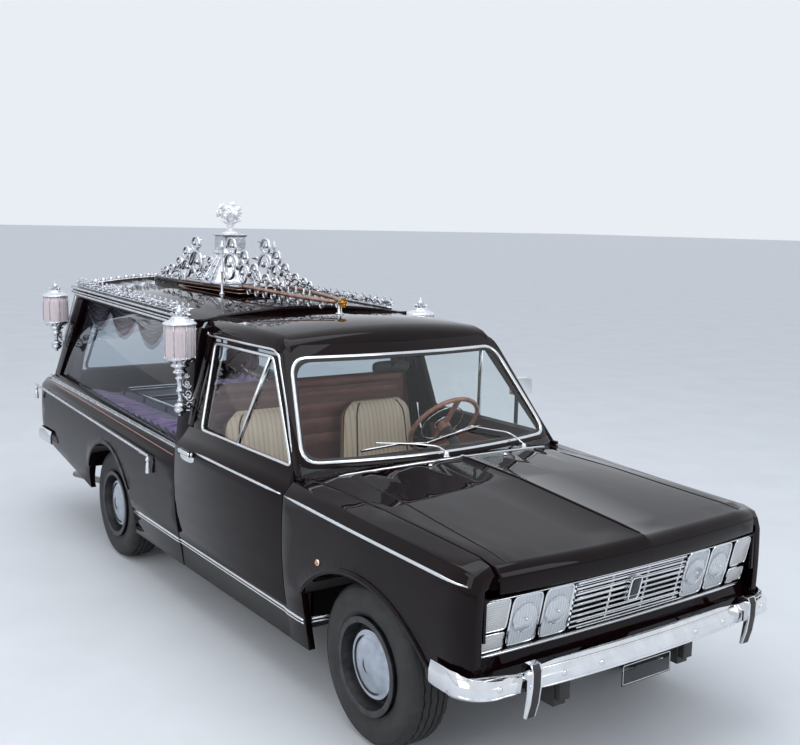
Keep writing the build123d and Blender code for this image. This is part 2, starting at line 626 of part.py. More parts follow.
# Bay sides: a curved lower panel with the rear wheel arch and a leaning window frame above it
bay_front_x = door_rear_x - shut_gap / 2
bay_wall = 56
bay_frame_top = [(x, cornice_z(front_axle_x + x) - cornice_height - seat_gap) for x in (-1722, -3640)]
bay_frame = ((-1658, 800), *bay_frame_top, (-3870, 905))
bay_window = ((-1830, 832), (-1858, 1408), (-3470, 1452), (-3769, 925))
tail_low_z = 480
for hand, side in sides:
    with BuildPart() as arch_lip:
        for x, waist in ((bay_front_x, door_waist), (bay_rear_x, bay_rear_waist)):
            ledge_z = ledge_front_z + ledge_rise * (bay_front_x - x) / ledge_length
            with BuildSketch(across(x)):
                with BuildLine():
                    near = waist - lip_depth
                    far = waist + lip_proud
                    ThreePointArc((side * (far - foot_inset), sill_top_z), (side * far, bulge_z),
                                  (side * (far - 4), ledge_z - ledge_bevel))
                    Line((side * (far - 4), ledge_z - ledge_bevel),
                         (side * (near - 4), ledge_z - ledge_bevel))
                    ThreePointArc((side * (near - 4), ledge_z - ledge_bevel), (side * near, bulge_z),
                                  (side * (near - foot_inset), sill_top_z))
                    Line((side * (near - foot_inset), sill_top_z), (side * (far - foot_inset), sill_top_z))
                make_face()
        loft(ruled=True)
        with BuildSketch(along(side * rear_floor_half)):
            with Locations((rear_axle_x, hub_height)):
                Circle(rear_arch_radius + lip_width)
                Circle(rear_arch_radius, mode=Mode.SUBTRACT)
            with Locations((rear_axle_x, hub_height - rear_arch_radius)):
                below = rear_arch_radius + lip_low_z - hub_height
                Rectangle(4 * rear_arch_radius, 2 * below, mode=Mode.SUBTRACT)
        extrude(amount=-side * overall_half, mode=Mode.INTERSECT)

    with BuildPart() as bay_side:
        for x, waist in ((bay_front_x, door_waist), (bay_rear_x, bay_rear_waist)):
            ledge_z = ledge_front_z + ledge_rise * (bay_front_x - x) / ledge_length
            with BuildSketch(across(x)):
                with BuildLine():
                    foot = waist - foot_inset
                    sill_half = waist - sill_inset
                    inner = waist - bay_wall
                    Polyline((side * (sill_half - wall), sill_bottom_z), (side * sill_half, sill_bottom_z),
                             (side * foot, sill_top_z))
                    ThreePointArc((side * foot, sill_top_z), (side * waist, bulge_z),
                                  (side * (waist - 4), ledge_z - ledge_bevel))
                    Polyline((side * (waist - 4), ledge_z - ledge_bevel), (side * ledge_half, ledge_z),
                             (side * (bay_glass_half + 6), ledge_z + 28),
                             (side * (bay_glass_half - 34), ledge_z + 28),
                             (side * (bay_glass_half - 20), ledge_z - 20), (side * inner, ledge_z - 60))
                    ThreePointArc((side * inner, ledge_z - 60), (side * (inner + 4), bulge_z),
                                  (side * (foot - wall), sill_top_z))
                    Line((side * (foot - wall), sill_top_z), (side * (sill_half - wall), sill_bottom_z))
                make_face()
        loft(ruled=True)
        with BuildSketch(lean_plane(side, bay_glass_half, bay_glass_z, bay_lean)):
            Polygon(*[(front_axle_x + x, up(z, bay_glass_z, bay_lean)) for x, z in bay_frame], align=None)
            Polygon(*[(front_axle_x + x, up(z, bay_glass_z, bay_lean)) for x, z in bay_window], align=None,
                    mode=Mode.SUBTRACT)
        extrude(amount=side * bay_frame_wall)
        with BuildSketch(along(side * (rear_floor_half + seat_gap))):
            with BuildLine():
                outer_radius = rear_arch_radius + arch_gap
                Line((rear_axle_x - outer_radius, 470), (rear_axle_x + outer_radius, 470))
                Line((rear_axle_x + outer_radius, 470), (rear_axle_x + outer_radius - 20, 500))
                ThreePointArc((rear_axle_x + outer_radius - 20, 500),
                              (rear_axle_x, hub_height + outer_radius),
                              (rear_axle_x - outer_radius + 20, 500))
                Line((rear_axle_x - outer_radius + 20, 500), (rear_axle_x - outer_radius, 470))
            make_face()
        extrude(amount=-side * 240)
        with BuildSketch(along(side * (rear_floor_half + 13))):
            with Locations((rear_axle_x, hub_height)):
                Circle(rear_arch_radius)
        extrude(amount=-side * overall_half, mode=Mode.SUBTRACT)
        with BuildSketch(along(side * 500)):
            Polygon(*[(rear_axle_x, 200), (rear_axle_x, 470), (rear_axle_x - rear_arch_radius, 330),
                      (rear_axle_x - 640, 386), (bay_rear_x - 20, tail_low_z + 20), (bay_rear_x - 20, 200)],
                    align=None)
        extrude(amount=-side * overall_half, mode=Mode.SUBTRACT)
        add(arch_lip.part)
    save(bay_side, f"bay_side_{hand}")

with BuildPart() as bay_glass:
    for hand, side in sides:
        with BuildSketch(lean_plane(side, bay_glass_half, bay_glass_z, bay_lean).offset(side * 14)):
            Polygon(*[(front_axle_x + x, up(z, bay_glass_z, bay_lean)) for x, z in bay_window], align=None)
        extrude(amount=side * glass_wall)
save(bay_glass, "bay_glass")


# Bay roof: a crowned panel with a cornice round its edge
bay_roof_stations = ((bay_roof_front_x, cornice_front_z), (bay_roof_rear_x, cornice_rear_z))
bay_crown = 52
bead = 13
bead_step = 8
with BuildPart() as bay_roof:
    for x, top_z in bay_roof_stations:
        low_z = top_z - cornice_height
        with BuildSketch(across(x)):
            with BuildLine():
                recess = cornice_half - bead_step
                moulding = [(cornice_half, low_z), (cornice_half, low_z + bead), (recess, low_z + bead),
                            (recess, top_z - bead), (cornice_half, top_z - bead), (cornice_half, top_z)]
                Polyline((cornice_half - 40, low_z), *moulding, (cornice_half - 55, top_z))
                ThreePointArc((cornice_half - 55, top_z), (0, top_z + bay_crown), (-cornice_half + 55, top_z))
                Polyline((-cornice_half + 55, top_z), *[(-y, z) for y, z in reversed(moulding)],
                         (-cornice_half + 40, low_z), (-cornice_half + 55, top_z - 18))
                ThreePointArc((-cornice_half + 55, top_z - 18), (0, top_z + bay_crown - 26),
                              (cornice_half - 55, top_z - 18))
                Line((cornice_half - 55, top_z - 18), (cornice_half - 40, low_z))
            make_face()
    loft(ruled=True)
save(bay_roof, "bay_roof")

# Rear frame round the tailgate: an upright lower half and a leaning upper half
bend_z = 888
frame_low_z = 528
rear_lean_top_z = 1474
rear_top_x = bay_roof_rear_x + 16
rear_wall = 34
rear_lean = (rear_top_x - bay_rear_x) / (rear_lean_top_z - bend_z)
rear_plane = Plane(origin=(bay_rear_x, 0, bend_z), x_dir=(0, -1, 0), z_dir=(-1, 0, rear_lean))
rear_rise = (rear_lean_top_z - bend_z) * sqrt(1 + rear_lean ** 2)
frame_border = 50
frame_low_half = bay_inner_half(bend_z) - 2 * seat_gap
frame_top_half = bay_inner_half(rear_lean_top_z) - 2 * seat_gap
gate_low_z = 580
gate_gap = 6
gate_low_half = frame_low_half - frame_border - gate_gap
gate_top_half = frame_top_half - frame_border - gate_gap
lower_half = bay_rear_waist - bay_wall - seat_gap
rear_ledge_z = ledge_front_z + ledge_rise
with BuildPart() as rear_frame:
    with BuildSketch(across(bay_rear_x)):
        ledge_drop = ledge_rise * rear_wall / ledge_length + seat_gap
        half_outline = [(lower_half, frame_low_z), (lower_half, rear_ledge_z - 60 - ledge_drop),
                        (bay_glass_half - 20 - seat_gap, rear_ledge_z - 20 - ledge_drop),
                        (frame_low_half, bend_z)]
        Polygon(*half_outline, *[(-y, z) for y, z in reversed(half_outline)], align=None)
        with Locations((0, (gate_low_z + bend_z) / 2 + 40)):
            Rectangle(2 * (gate_low_half + gate_gap), bend_z - gate_low_z + 80, mode=Mode.SUBTRACT)
    extrude(amount=rear_wall)
    with BuildSketch(rear_plane):
        Polygon(*[(-frame_low_half, 0), (frame_low_half, 0), (frame_top_half, rear_rise),
                  (-frame_top_half, rear_rise)], align=None)
        Polygon(*[(-gate_low_half - gate_gap, -1), (gate_low_half + gate_gap, -1),
                  (gate_top_half + gate_gap, rear_rise - 46), (-gate_top_half - gate_gap, rear_rise - 46)],
                align=None, mode=Mode.SUBTRACT)
    extrude(amount=-rear_wall)
save(rear_frame, "rear_frame")

# Tailgate: one bent panel with its window, hinged along its top edge
gate_rise = rear_rise - 46 - gate_gap
gate_border = 62
lug_wall = 10
window_low_half = gate_low_half - gate_border
window_top_half = gate_top_half - gate_border + 8
gate_window = ((-window_low_half, 50), (window_low_half, 50), (window_top_half, gate_rise - 54),
               (-window_top_half, gate_rise - 54))
with BuildPart() as tailgate:
    with BuildSketch(across(bay_rear_x)):
        with Locations((0, (gate_low_z + gate_gap + bend_z) / 2)):
            Rectangle(2 * gate_low_half, bend_z - gate_low_z - gate_gap)
    extrude(amount=rear_wall)
    with BuildSketch(rear_plane):
        Polygon(*[(-gate_low_half, 0), (gate_low_half, 0), (gate_top_half, gate_rise),
                  (-gate_top_half, gate_rise)], align=None)
        Polygon(*gate_window, align=None, mode=Mode.SUBTRACT)
    extrude(amount=-rear_wall)
    with BuildSketch(rear_plane):
        for y in (-lug_y, lug_y):
            with Locations((y, gate_rise + gate_gap / 2 - seat_gap)):
                Rectangle(60, gate_gap)
    extrude(amount=-lug_wall)
save(tailgate, "tailgate")

with BuildPart() as tailgate_glass:
    with BuildSketch(rear_plane.offset(-12)):
        Polygon(*gate_window, align=None)
    extrude(amount=-glass_wall)
save(tailgate_glass, "tailgate_glass")

# Nose panel: a channel that holds the lamps and grille, with the valance below
lamp_low_z = 562
lamp_high_z = 756
nose_half = 704
nose_bow = 18
lamp_rake = 0.22
valance_low_z = 400
bracket_y = 330
channel_depth = 44
nose_stations = (0, 294, 439, 584, nose_half)


def nose_face(y):
    """Place of the nose's bowed front face at a half-width."""
    return nose_x - nose_bow * (y / nose_half) ** 2


with BuildPart() as nose_panel:
    for y in [-y for y in reversed(nose_stations[1:])] + list(nose_stations):
        face_x = nose_face(y)
        low_x = face_x - lamp_rake * (lamp_high_z - lamp_low_z)
        with BuildSketch(along(y)):
            Polygon(*[(face_x, nose_top_z), (face_x - 2, lamp_high_z), (face_x - channel_depth, lamp_high_z),
                      (low_x - channel_depth, lamp_low_z), (low_x, lamp_low_z), (low_x - 3, 546),
                      (low_x + 14, 500), (low_x - 6, valance_low_z), (low_x - 26, valance_low_z),
                      (low_x - 8, 500), (low_x - 70, 546), (face_x - 66, nose_top_z)], align=None)
    loft(ruled=True)
    for side in (1, -1):
        inner, outer = sorted((side * (bracket_y - 31), side * (bracket_y + 31)))
        with Locations((nose_x - 20, side * bracket_y, 440)):
            Box(160, 62, 84, mode=Mode.SUBTRACT)
        inner, outer = sorted((side * (nose_half - 4), side * (fender_front_half - wall - 5 - seat_gap)))
        block((fender_front_x - 12, inner, 620), (fender_front_x, outer, fender_inner_z + 1))
save(nose_panel, "nose_panel")

# Lamp clusters: two rectangular headlamps and a corner lamp on each side. Columns: inner and outer
# half-width, and how deep the lamp is
lamp_table = ((300, 434, 30), (444, 578, 30), (590, 700, 34))
lamp_edge = 4
with BuildPart() as headlamps:
    for hand, side in sides:
        for inner, outer, depth in lamp_table:
            for y in (inner, outer):
                back_x = nose_face(y) - channel_depth + seat_gap
                fall = lamp_rake * (lamp_high_z - lamp_low_z - 2 * lamp_edge)
                back_top_x = back_x - lamp_rake * lamp_edge
                with BuildSketch(along(side * y)):
                    Polygon(*[(back_top_x, lamp_high_z - lamp_edge),
                              (back_top_x + depth, lamp_high_z - lamp_edge),
                              (back_top_x + depth - fall, lamp_low_z + lamp_edge),
                              (back_top_x - fall, lamp_low_z + lamp_edge)], align=None)
            loft(ruled=True)
save(headlamps, "headlamps")

# Grille: chrome bars on two uprights, with a blank badge plate
grille_half = 288
bar_count = 9
bar_height = 8
bar_pitch = (lamp_high_z - lamp_low_z - 20) / (bar_count - 1)
with BuildPart() as grille:
    for k in range(bar_count):
        z = lamp_low_z + 10 + k * bar_pitch
        x = nose_x - 42 + lamp_rake * (z - lamp_high_z)
        block((x + 8, -grille_half, z - bar_height / 2), (x + 32, grille_half, z + bar_height / 2))
    for y in (-grille_half + 5, -95, 95, grille_half - 5):
        back_x = nose_face(abs(y) - 5) - channel_depth + seat_gap - lamp_rake * lamp_edge
        with BuildSketch(along(y + 5)):
            Polygon(*[(back_x, lamp_high_z - lamp_edge), (nose_x - 22, lamp_high_z - lamp_edge),
                      (nose_x - 22 - fall, lamp_low_z + lamp_edge), (back_x - fall, lamp_low_z + lamp_edge)],
                    align=None)
        extrude(amount=10)
    with BuildSketch(along(28)):
        Polygon(*[(nose_x - 30, 722), (nose_x - 4, 722), (nose_x - 4 - lamp_rake * 92, 630),
                  (nose_x - 30 - lamp_rake * 92, 630)], align=None)
    extrude(amount=56)
save(grille, "grille")

# Bumpers: bowed bars with a sloping top, a turned-in foot and wrapped ends; the front one has curved
# overriders
bumper_wall = 14
bumper_depth = 46
front_bumper_x = front_axle_x + 733
front_bumper_low_z = 440
front_bumper_high_z = 526
overrider_y = 570
overrider_half = 22
rear_bumper_x = rear_axle_x - rear_overhang
rear_bumper_low_z = 480
rear_bumper_high_z = 566
bumpers = (
    ("front_bumper", front_bumper_x, front_axle_x + 461, 802, 1, front_bumper_low_z, front_bumper_high_z),
    ("rear_bumper", rear_bumper_x, rear_axle_x - 1000, 815, -1, rear_bumper_low_z, rear_bumper_high_z),
)
# Columns: height above the foot or below the top, how far the face and the ends step back there
bumper_levels = ((0, 20, 5), (14, 0, 0), (52, 0, 0), (86, 32, 9))
overrider_outline = (
    (-44, 500), (-44, 540), (-26, 558), (2, 556), (12, 534), (12, 480), (4, 420), (-12, 365), (-24, 365),
    (-16, 420), (-12, 455), (-12, 500),
)
for name, face_x, end_x, bumper_half, ahead, low_z, high_z in bumpers:
    with BuildPart() as bumper:
        for rise, face_inset, side_inset in bumper_levels:
            half = bumper_half - side_inset
            front = face_x - ahead * face_inset
            shoulder, bend, corner = (front - ahead * reach for reach in (34, 66, 160))
            with BuildSketch(Plane.XY.offset(low_z + rise)):
                with BuildLine():
                    Line((end_x, -half), (corner, -half))
                    ThreePointArc((corner, -half), (bend, -half + 34), (shoulder, -half + 130))
                    ThreePointArc((shoulder, -half + 130), (front, 0), (shoulder, half - 130))
                    ThreePointArc((shoulder, half - 130), (bend, half - 34), (corner, half))
                    Polyline((corner, half), (end_x, half), (end_x, -half))
                make_face()
        loft(ruled=True)
        with BuildSketch(Plane.XY.offset(low_z - 1)):
            half = bumper_half - bumper_wall
            front = face_x - ahead * bumper_depth
            shoulder, bend, corner = (face_x - ahead * (bumper_wall + reach) for reach in (34, 66, 160))
            with BuildLine():
                Line((end_x - ahead, -half), (corner, -half))
                ThreePointArc((corner, -half), (bend, -half + 34), (shoulder, -half + 130))
                ThreePointArc((shoulder, -half + 130), (front, 0), (shoulder, half - 130))
                ThreePointArc((shoulder, half - 130), (bend, half - 34), (corner, half))
                Polyline((corner, half), (end_x - ahead, half), (end_x - ahead, -half))
            make_face()
        extrude(amount=high_z - low_z + 2, mode=Mode.SUBTRACT)
        if ahead > 0:
            for side in (1, -1):
                right, left = side * bracket_y - 25, side * bracket_y + 25
                with BuildSketch(along(side * overrider_y + overrider_half)):
                    Polygon(*[(face_x + x, z) for x, z in overrider_outline], align=None)
                extrude(amount=2 * overrider_half)
                block((rail_front_x, right, rail_z + 30), (rail_front_x + 24, left, 480))
                block((rail_front_x, right, 450), (face_x - 40, left, 480))
        else:
            for side in (1, -1):
                block((face_x + 40, side * 420 - 25, 490), (bay_rear_x + 70, side * 420 + 25, 524))
    save(bumper, name)

with BuildPart() as front_plate:
    bracket_x = front_bumper_x - bumper_depth + 12
    block((front_bumper_x - 20, -130, 357), (front_bumper_x - 16, 130, 414))
    block((bracket_x, -60, 414), (front_bumper_x - 16, 60, 420))
    block((bracket_x, -60, 414), (bracket_x + 4, 60, front_bumper_low_z - seat_gap))
save(front_plate, "front_plate")

with BuildPart() as tail_lamps:
    for side in (1, -1):
        inner, outer = sorted((side * 632, side * 716))
        block((bay_rear_x - 22, inner, 620), (bay_rear_x, outer, 820))
save(tail_lamps, "tail_lamps")


# Partition: a padded bulkhead behind the seats with a framed pane on top
partition_x = front_axle_x - 1712
partition_top_z = 1130
with BuildPart() as partition:
    with BuildSketch(across(partition_x)):
        Polygon(*[(-684, firewall_z), (684, firewall_z), (684, 760), (634, partition_top_z),
                  (-634, partition_top_z), (-684, 760)], align=None)
    extrude(amount=26)
    with BuildSketch(across(partition_x + 26)):
        Polygon(*[(-600, 560), (600, 560), (600, partition_top_z), (-600, partition_top_z)], align=None)
    extrude(amount=24)
save(partition, "partition")

with BuildPart() as partition_glass:
    with BuildSketch(across(partition_x + 8)):
        Polygon(*[(-630, partition_top_z), (630, partition_top_z), (584, 1388), (-584, 1388)], align=None)
    extrude(amount=glass_wall)
save(partition_glass, "partition_glass")

# Coffin deck on its bearers, with two chrome rails and cross rollers
deck_top_z = 770
deck_wall = 26
deck_half = 600
deck_front_x = partition_x - 12
deck_rear_x = bay_rear_x + 90
with BuildPart() as coffin_deck:
    block((deck_rear_x, -deck_half, deck_top_z - deck_wall), (deck_front_x, deck_half, deck_top_z))
    for y in (-430, 0, 430):
        block((deck_rear_x, y - 20, floor_rear_z + floor_wall), (kick_x - 60, y + 20, deck_top_z - deck_wall))
save(coffin_deck, "coffin_deck")

rail_radius = 11
deck_rail_y = 300
with BuildPart() as deck_rails:
    for y in (-deck_rail_y, deck_rail_y):
        with BuildSketch(across(deck_rear_x + 60)):
            with Locations((y, deck_top_z + 45)):
                Circle(rail_radius)
        extrude(amount=deck_front_x - deck_rear_x - 160)
        for k in range(6):
            x = deck_rear_x + 110 + k * (deck_front_x - deck_rear_x - 260) / 5
            block((x - 12, y - 9, deck_top_z), (x + 12, y + 9, deck_top_z + 40))
    for k in range(5):
        x = deck_rear_x + 200 + k * (deck_front_x - deck_rear_x - 440) / 4
        with BuildSketch(along(deck_rail_y)):
            with Locations((x, deck_top_z + 45)):
                Circle(18)
        extrude(amount=2 * deck_rail_y)
save(deck_rails, "deck_rails")

# Dashboard with the steering column
dash_front_x = cowl_rear_x - seat_gap
dash_rear_x = front_axle_x - 830
with BuildPart() as dashboard:
    with BuildSketch(along(676)):
        Polygon(*[(dash_front_x, cowl_edge_z - 20), (dash_front_x, 700), (dash_rear_x + 60, 640),
                  (dash_rear_x, 700), (dash_rear_x - 20, 860), (dash_rear_x + 20, 905),
                  (dash_front_x - 30, 925)], align=None)
    extrude(amount=2 * 676)
wheel_hub_x = front_axle_x - 985
wheel_hub_z = 962
steering_y = 370
column_tilt = radians(38)
column_dir = (-cos(column_tilt), 0, sin(column_tilt))
column_length = 330
hub_depth = 28
column_reach = column_length + hub_depth + turning_gap
column_plane = Plane(origin=(wheel_hub_x + column_reach * cos(column_tilt), steering_y,
                             wheel_hub_z - column_reach * sin(column_tilt)), z_dir=column_dir)
with BuildPart(mode=Mode.PRIVATE) as column:
    with BuildSketch(column_plane):
        Circle(24)
    extrude(amount=column_length)
with BuildPart() as dashboard_whole:
    add(dashboard.part)
    add(column.part)
save(dashboard_whole, "dashboard")

steering_radius = 192
rim_wire_radius = 11
hub_plane = Plane(origin=(wheel_hub_x, steering_y, wheel_hub_z), z_dir=column_dir)
with BuildPart() as steering_wheel:
    with BuildSketch(hub_plane.offset(-hub_depth)):
        Circle(30)
    extrude(amount=hub_depth + 14)
    with BuildSketch(hub_plane):
        with PolarLocations((steering_radius) / 2, 2):
            Rectangle(steering_radius, 22)
    extrude(amount=8, both=True)
    with BuildSketch(Plane(origin=hub_plane.origin, x_dir=hub_plane.x_dir, z_dir=hub_plane.y_dir)):
        with Locations((steering_radius, 0)):
            Circle(rim_wire_radius)
    revolve(axis=Axis(hub_plane.origin, hub_plane.z_dir))
save(steering_wheel, "steering_wheel")

# Front seats: cushion and leaning back
seat_y = 352
seat_half = 245
for hand, side in sides:
    with BuildPart() as seat:
        with BuildSketch(along(side * seat_y + seat_half)):
            Polygon(*[(front_axle_x - 1110, firewall_z), (front_axle_x - 1090, 430),
                      (front_axle_x - 1120, 470), (front_axle_x - 1460, 452), (front_axle_x - 1530, 1005),
                      (front_axle_x - 1590, 1025), (front_axle_x - 1640, 990), (front_axle_x - 1600, 400),
                      (front_axle_x - 1560, firewall_z)], align=None)
        extrude(amount=2 * seat_half)
        upper_edges = seat.edges().filter_by(GeomType.LINE).filter_by(lambda edge: edge.center().Z > 440)
        fillet(upper_edges.filter_by(Axis.Y, reverse=True), 18)
    save(seat, f"seat_{hand}")

# Engine block, exhaust and fuel tank
engine_half = 190
with BuildPart() as engine:
    block((front_axle_x - 380, -engine_half, 320), (front_axle_x + 330, engine_half, 730))
    block((front_axle_x - 500, -110, 320), (front_axle_x - 380, 110, 560))
    for side in (1, -1):
        inner, outer = sorted((side * engine_half, side * (rail_y - 30)))
        block((front_axle_x - 60, inner, rail_z + 20), (front_axle_x + 20, outer, rail_z + 70))
save(engine, "engine")

pipe_radius = 20
hanger_half = 8
hangers = (
    (front_axle_x - 1000, -183, 190, floor_z), (front_axle_x - 2000, -205, 195, floor_z),
    (rear_axle_x - 640, -464, 265, floor_rear_z),
)
pipe_points = (
    (front_axle_x - 300, -engine_half - seat_gap, 520), (front_axle_x - 300, -270, 520),
    (front_axle_x - 330, -265, 225), (front_axle_x - 800, -180, 190),
    (front_axle_x - 1900, -190, 190), (rear_axle_x + 330, -340, 240), (rear_axle_x + 160, -380, 405),
    (rear_axle_x - 180, -380, 405), (rear_axle_x - 480, -390, 300), (rear_axle_x - 800, -530, 240),
    (rear_axle_x - 1290, -560, 190),
)
with BuildPart() as exhaust:
    with BuildLine() as pipe_line:
        FilletPolyline(*pipe_points, radius=60)
    with BuildSketch(Plane(origin=pipe_line.line @ 0, z_dir=pipe_line.line % 0)):
        Circle(pipe_radius)
    sweep()
    with BuildSketch(across(front_axle_x - 1750)):
        with Locations((-188, 190)):
            Circle(62)
    extrude(amount=460)
    for x, y, low_z, carrier_z in hangers:
        block((x - hanger_half, y - hanger_half, low_z),
              (x + hanger_half, y + hanger_half, carrier_z - seat_gap))
save(exhaust, "exhaust")

with BuildPart() as fuel_tank:
    block((rear_axle_x - 1060, -350, 330), (rear_axle_x - 700, 350, floor_rear_z))
    fillet(fuel_tank.edges().filter_by(Axis.Z), 40)
save(fuel_tank, "fuel_tank")

# Wipers: an arm and a blade each
wiper_x = front_axle_x - 438
cowl_rise = cowl_crown_z - cowl_edge_z
cowl_sphere = (cowl_half ** 2 + cowl_rise ** 2) / (2 * cowl_rise)
with BuildPart() as wipers:
    for pivot_y, sweep_y in ((260, -130), (-200, -590)):
        near_y = abs(pivot_y) - 12
        foot_z = cowl_crown_z - cowl_sphere + sqrt(cowl_sphere ** 2 - near_y ** 2) + seat_gap
        block((wiper_x - 12, pivot_y - 12, foot_z), (wiper_x + 12, pivot_y + 12, foot_z + 34))
        block((wiper_x - 8, sweep_y, foot_z + 26), (wiper_x + 4, pivot_y, foot_z + 34))
save(wipers, "wipers")


# Lanterns at the bay's corners: glass body on a tapered stem, with a bracket to the pillar.
# Columns: share of the height, radius
lantern_y = bay_glass_half + 25
lantern_top_z = 1507
lantern_profile = (
    (0.00, 20), (0.03, 36), (0.07, 36), (0.09, 16), (0.15, 13), (0.38, 25), (0.40, 34), (0.43, 34),
    (0.46, 22), (0.52, 60), (0.56, 76), (0.88, 80), (0.90, 84), (0.93, 62), (0.96, 24), (1.00, 8),
)
lantern_table = (
    ("front", front_axle_x - 1710, 990),
    ("rear", front_axle_x - 3705, 1092),
)
with BuildPart() as lanterns:
    for end, x, low_z in lantern_table:
        for hand, side in sides:
            spin = Axis((x, side * lantern_y, 0), (0, 0, 1))
            height = lantern_top_z - low_z
            points = [(radius, low_z + share * height) for share, radius in lantern_profile]
            with BuildSketch(Plane(origin=(x, side * lantern_y, 0), x_dir=(1, 0, 0), z_dir=(0, -1, 0))):
                Polygon((0, low_z), *points, (0, lantern_top_z), align=None)
            revolve(axis=spin)
            bracket_z = low_z + 0.3 * height
            face_y = bay_glass_half - bay_lean * (bracket_z - bay_glass_z)
            inner, outer = sorted((side * (face_y + bay_lean * 14 + seat_gap), side * (lantern_y - 5)))
            block((x - 9, inner, bracket_z - 14), (x + 9, outer, bracket_z + 14))
save(lanterns, "lanterns")

# Silver cresting along both roof edges: a rail with a row of curled leaves, tall and low in turn
crest_y = cornice_half - 26
crest_front_x = front_axle_x - 1840
crest_rear_x = bay_roof_rear_x + 70
crest_count = 22
crest_rail = 12
# Columns: height of the curl's middle above the rail, radius of the curl, height of the leaf's tip
crest_leaves = ((24, 25, 80), (20, 21, 58))
with BuildPart() as cresting:
    for side in (1, -1):
        start_z = cornice_z(crest_front_x) + seat_gap
        end_z = cornice_z(crest_rear_x) + seat_gap
        with BuildSketch(along(side * crest_y)):
            Polygon(*[(crest_front_x, start_z), (crest_rear_x, end_z), (crest_rear_x, end_z + crest_rail),
                      (crest_front_x, start_z + crest_rail)], align=None)
            for k in range(crest_count):
                share = (k + 0.5) / crest_count
                x = crest_front_x + share * (crest_rear_x - crest_front_x)
                z = start_z + share * (end_z - start_z) + crest_rail
                curl_z, curl_radius, tip_z = crest_leaves[k % 2]
                with Locations((x, z + curl_z)):
                    Circle(curl_radius)
                Polygon(*[(x - curl_radius + 2, z + curl_z), (x - 14, z + 0.8 * tip_z), (x - 4, z + tip_z),
                          (x + 8, z + 0.8 * tip_z), (x + curl_radius - 2, z + curl_z)], align=None)
                with Locations((x + 5, z + curl_z - 2)):
                    Circle(0.42 * curl_radius, mode=Mode.SUBTRACT)
        extrude(amount=9, both=True)
save(cresting, "cresting")

# Roof ornament: plinth, bell-shaped dome, capital and a bunch of flowers on top
ornament_x = front_axle_x - 2660
plinth_z = 1590
capital_z = plinth_z + 178
capital_half = 78
bunch_z = plinth_z + 296
with BuildPart() as ornament:
    with BuildSketch(along(150)):
        ends = (ornament_x - 420, ornament_x + 420)
        rear_foot, front_foot = (cornice_z(x) + bay_crown + seat_gap for x in ends)
        Polygon(*[(ends[0], rear_foot), (ends[1], front_foot), (ends[1], plinth_z), (ends[0], plinth_z)],
                align=None)
    extrude(amount=300)
    upright = Plane(origin=(ornament_x, 0, 0), x_dir=(1, 0, 0), z_dir=(0, -1, 0))
    with BuildSketch(upright):
        with BuildLine():
            Polyline((0, capital_z + 2), (0, plinth_z - 1), (176, plinth_z - 1), (176, plinth_z + 14),
                     (162, plinth_z + 22))
            ThreePointArc((162, plinth_z + 22), (112, plinth_z + 86), (66, capital_z))
            Polyline((66, capital_z), (66, capital_z + 2), (0, capital_z + 2))
        make_face()
    revolve(axis=Axis((ornament_x, 0, 0), (0, 0, 1)))
    for half, low_z, high_z in ((capital_half + 10, capital_z, capital_z + 14),
                                (capital_half, capital_z, bunch_z - 8),
                                (capital_half + 12, bunch_z - 14, bunch_z)):
        block((ornament_x - half, -half, low_z), (ornament_x + half, half, high_z))
    with BuildSketch(upright):
        Polygon(*[(0, bunch_z - 1), (52, bunch_z - 1), (24, bunch_z + 26), (20, bunch_z + 60),
                  (48, bunch_z + 92), (52, bunch_z + 140), (30, bunch_z + 190), (0, bunch_z + 200)],
                align=None)
    revolve(axis=Axis((ornament_x, 0, 0), (0, 0, 1)))
    # Columns: height above the capital, distance out, how many, flower radius
    for rise, reach, count, radius in ((104, 56, 6, 27), (150, 46, 5, 27), (192, 0, 1, 27)):
        with Locations((ornament_x, 0, bunch_z + rise)):
            with PolarLocations(reach, count):
                Sphere(radius)
save(ornament, "roof_ornament")

# Scrollwork before and behind the dome: curls that step down along two upright planes.
# Columns: distance from the dome, height above the plinth, curl radius
scroll_table = (
    (262, 205, 56), (235, 96, 90), (430, 148, 42), (395, 70, 66), (530, 56, 52), (640, 43, 39), (733, 35, 31),
    (800, 27, 23),
)
scroll_y = 120
scroll_rail = 10
with BuildPart() as scrolls:
    for side in (1, -1):
        for ahead in (1, -1):
            with BuildSketch(along(side * scroll_y)):
                for distance, height, radius in scroll_table:
                    with Locations((ornament_x + ahead * distance, plinth_z + height)):
                        Circle(radius)
                for distance, height, radius in scroll_table:
                    x = ornament_x + ahead * distance
                    z = plinth_z + height
                    with Locations((x + ahead * 0.12 * radius, z)):
                        Circle(0.74 * radius, mode=Mode.SUBTRACT)
                    with Locations((x - ahead * 0.42 * radius, z)):
                        Circle(0.34 * radius)
                with Locations((ornament_x + ahead * 510, plinth_z + scroll_rail / 2)):
                    Rectangle(630, scroll_rail)
            extrude(amount=9, both=True)
save(scrolls, "roof_scrolls")

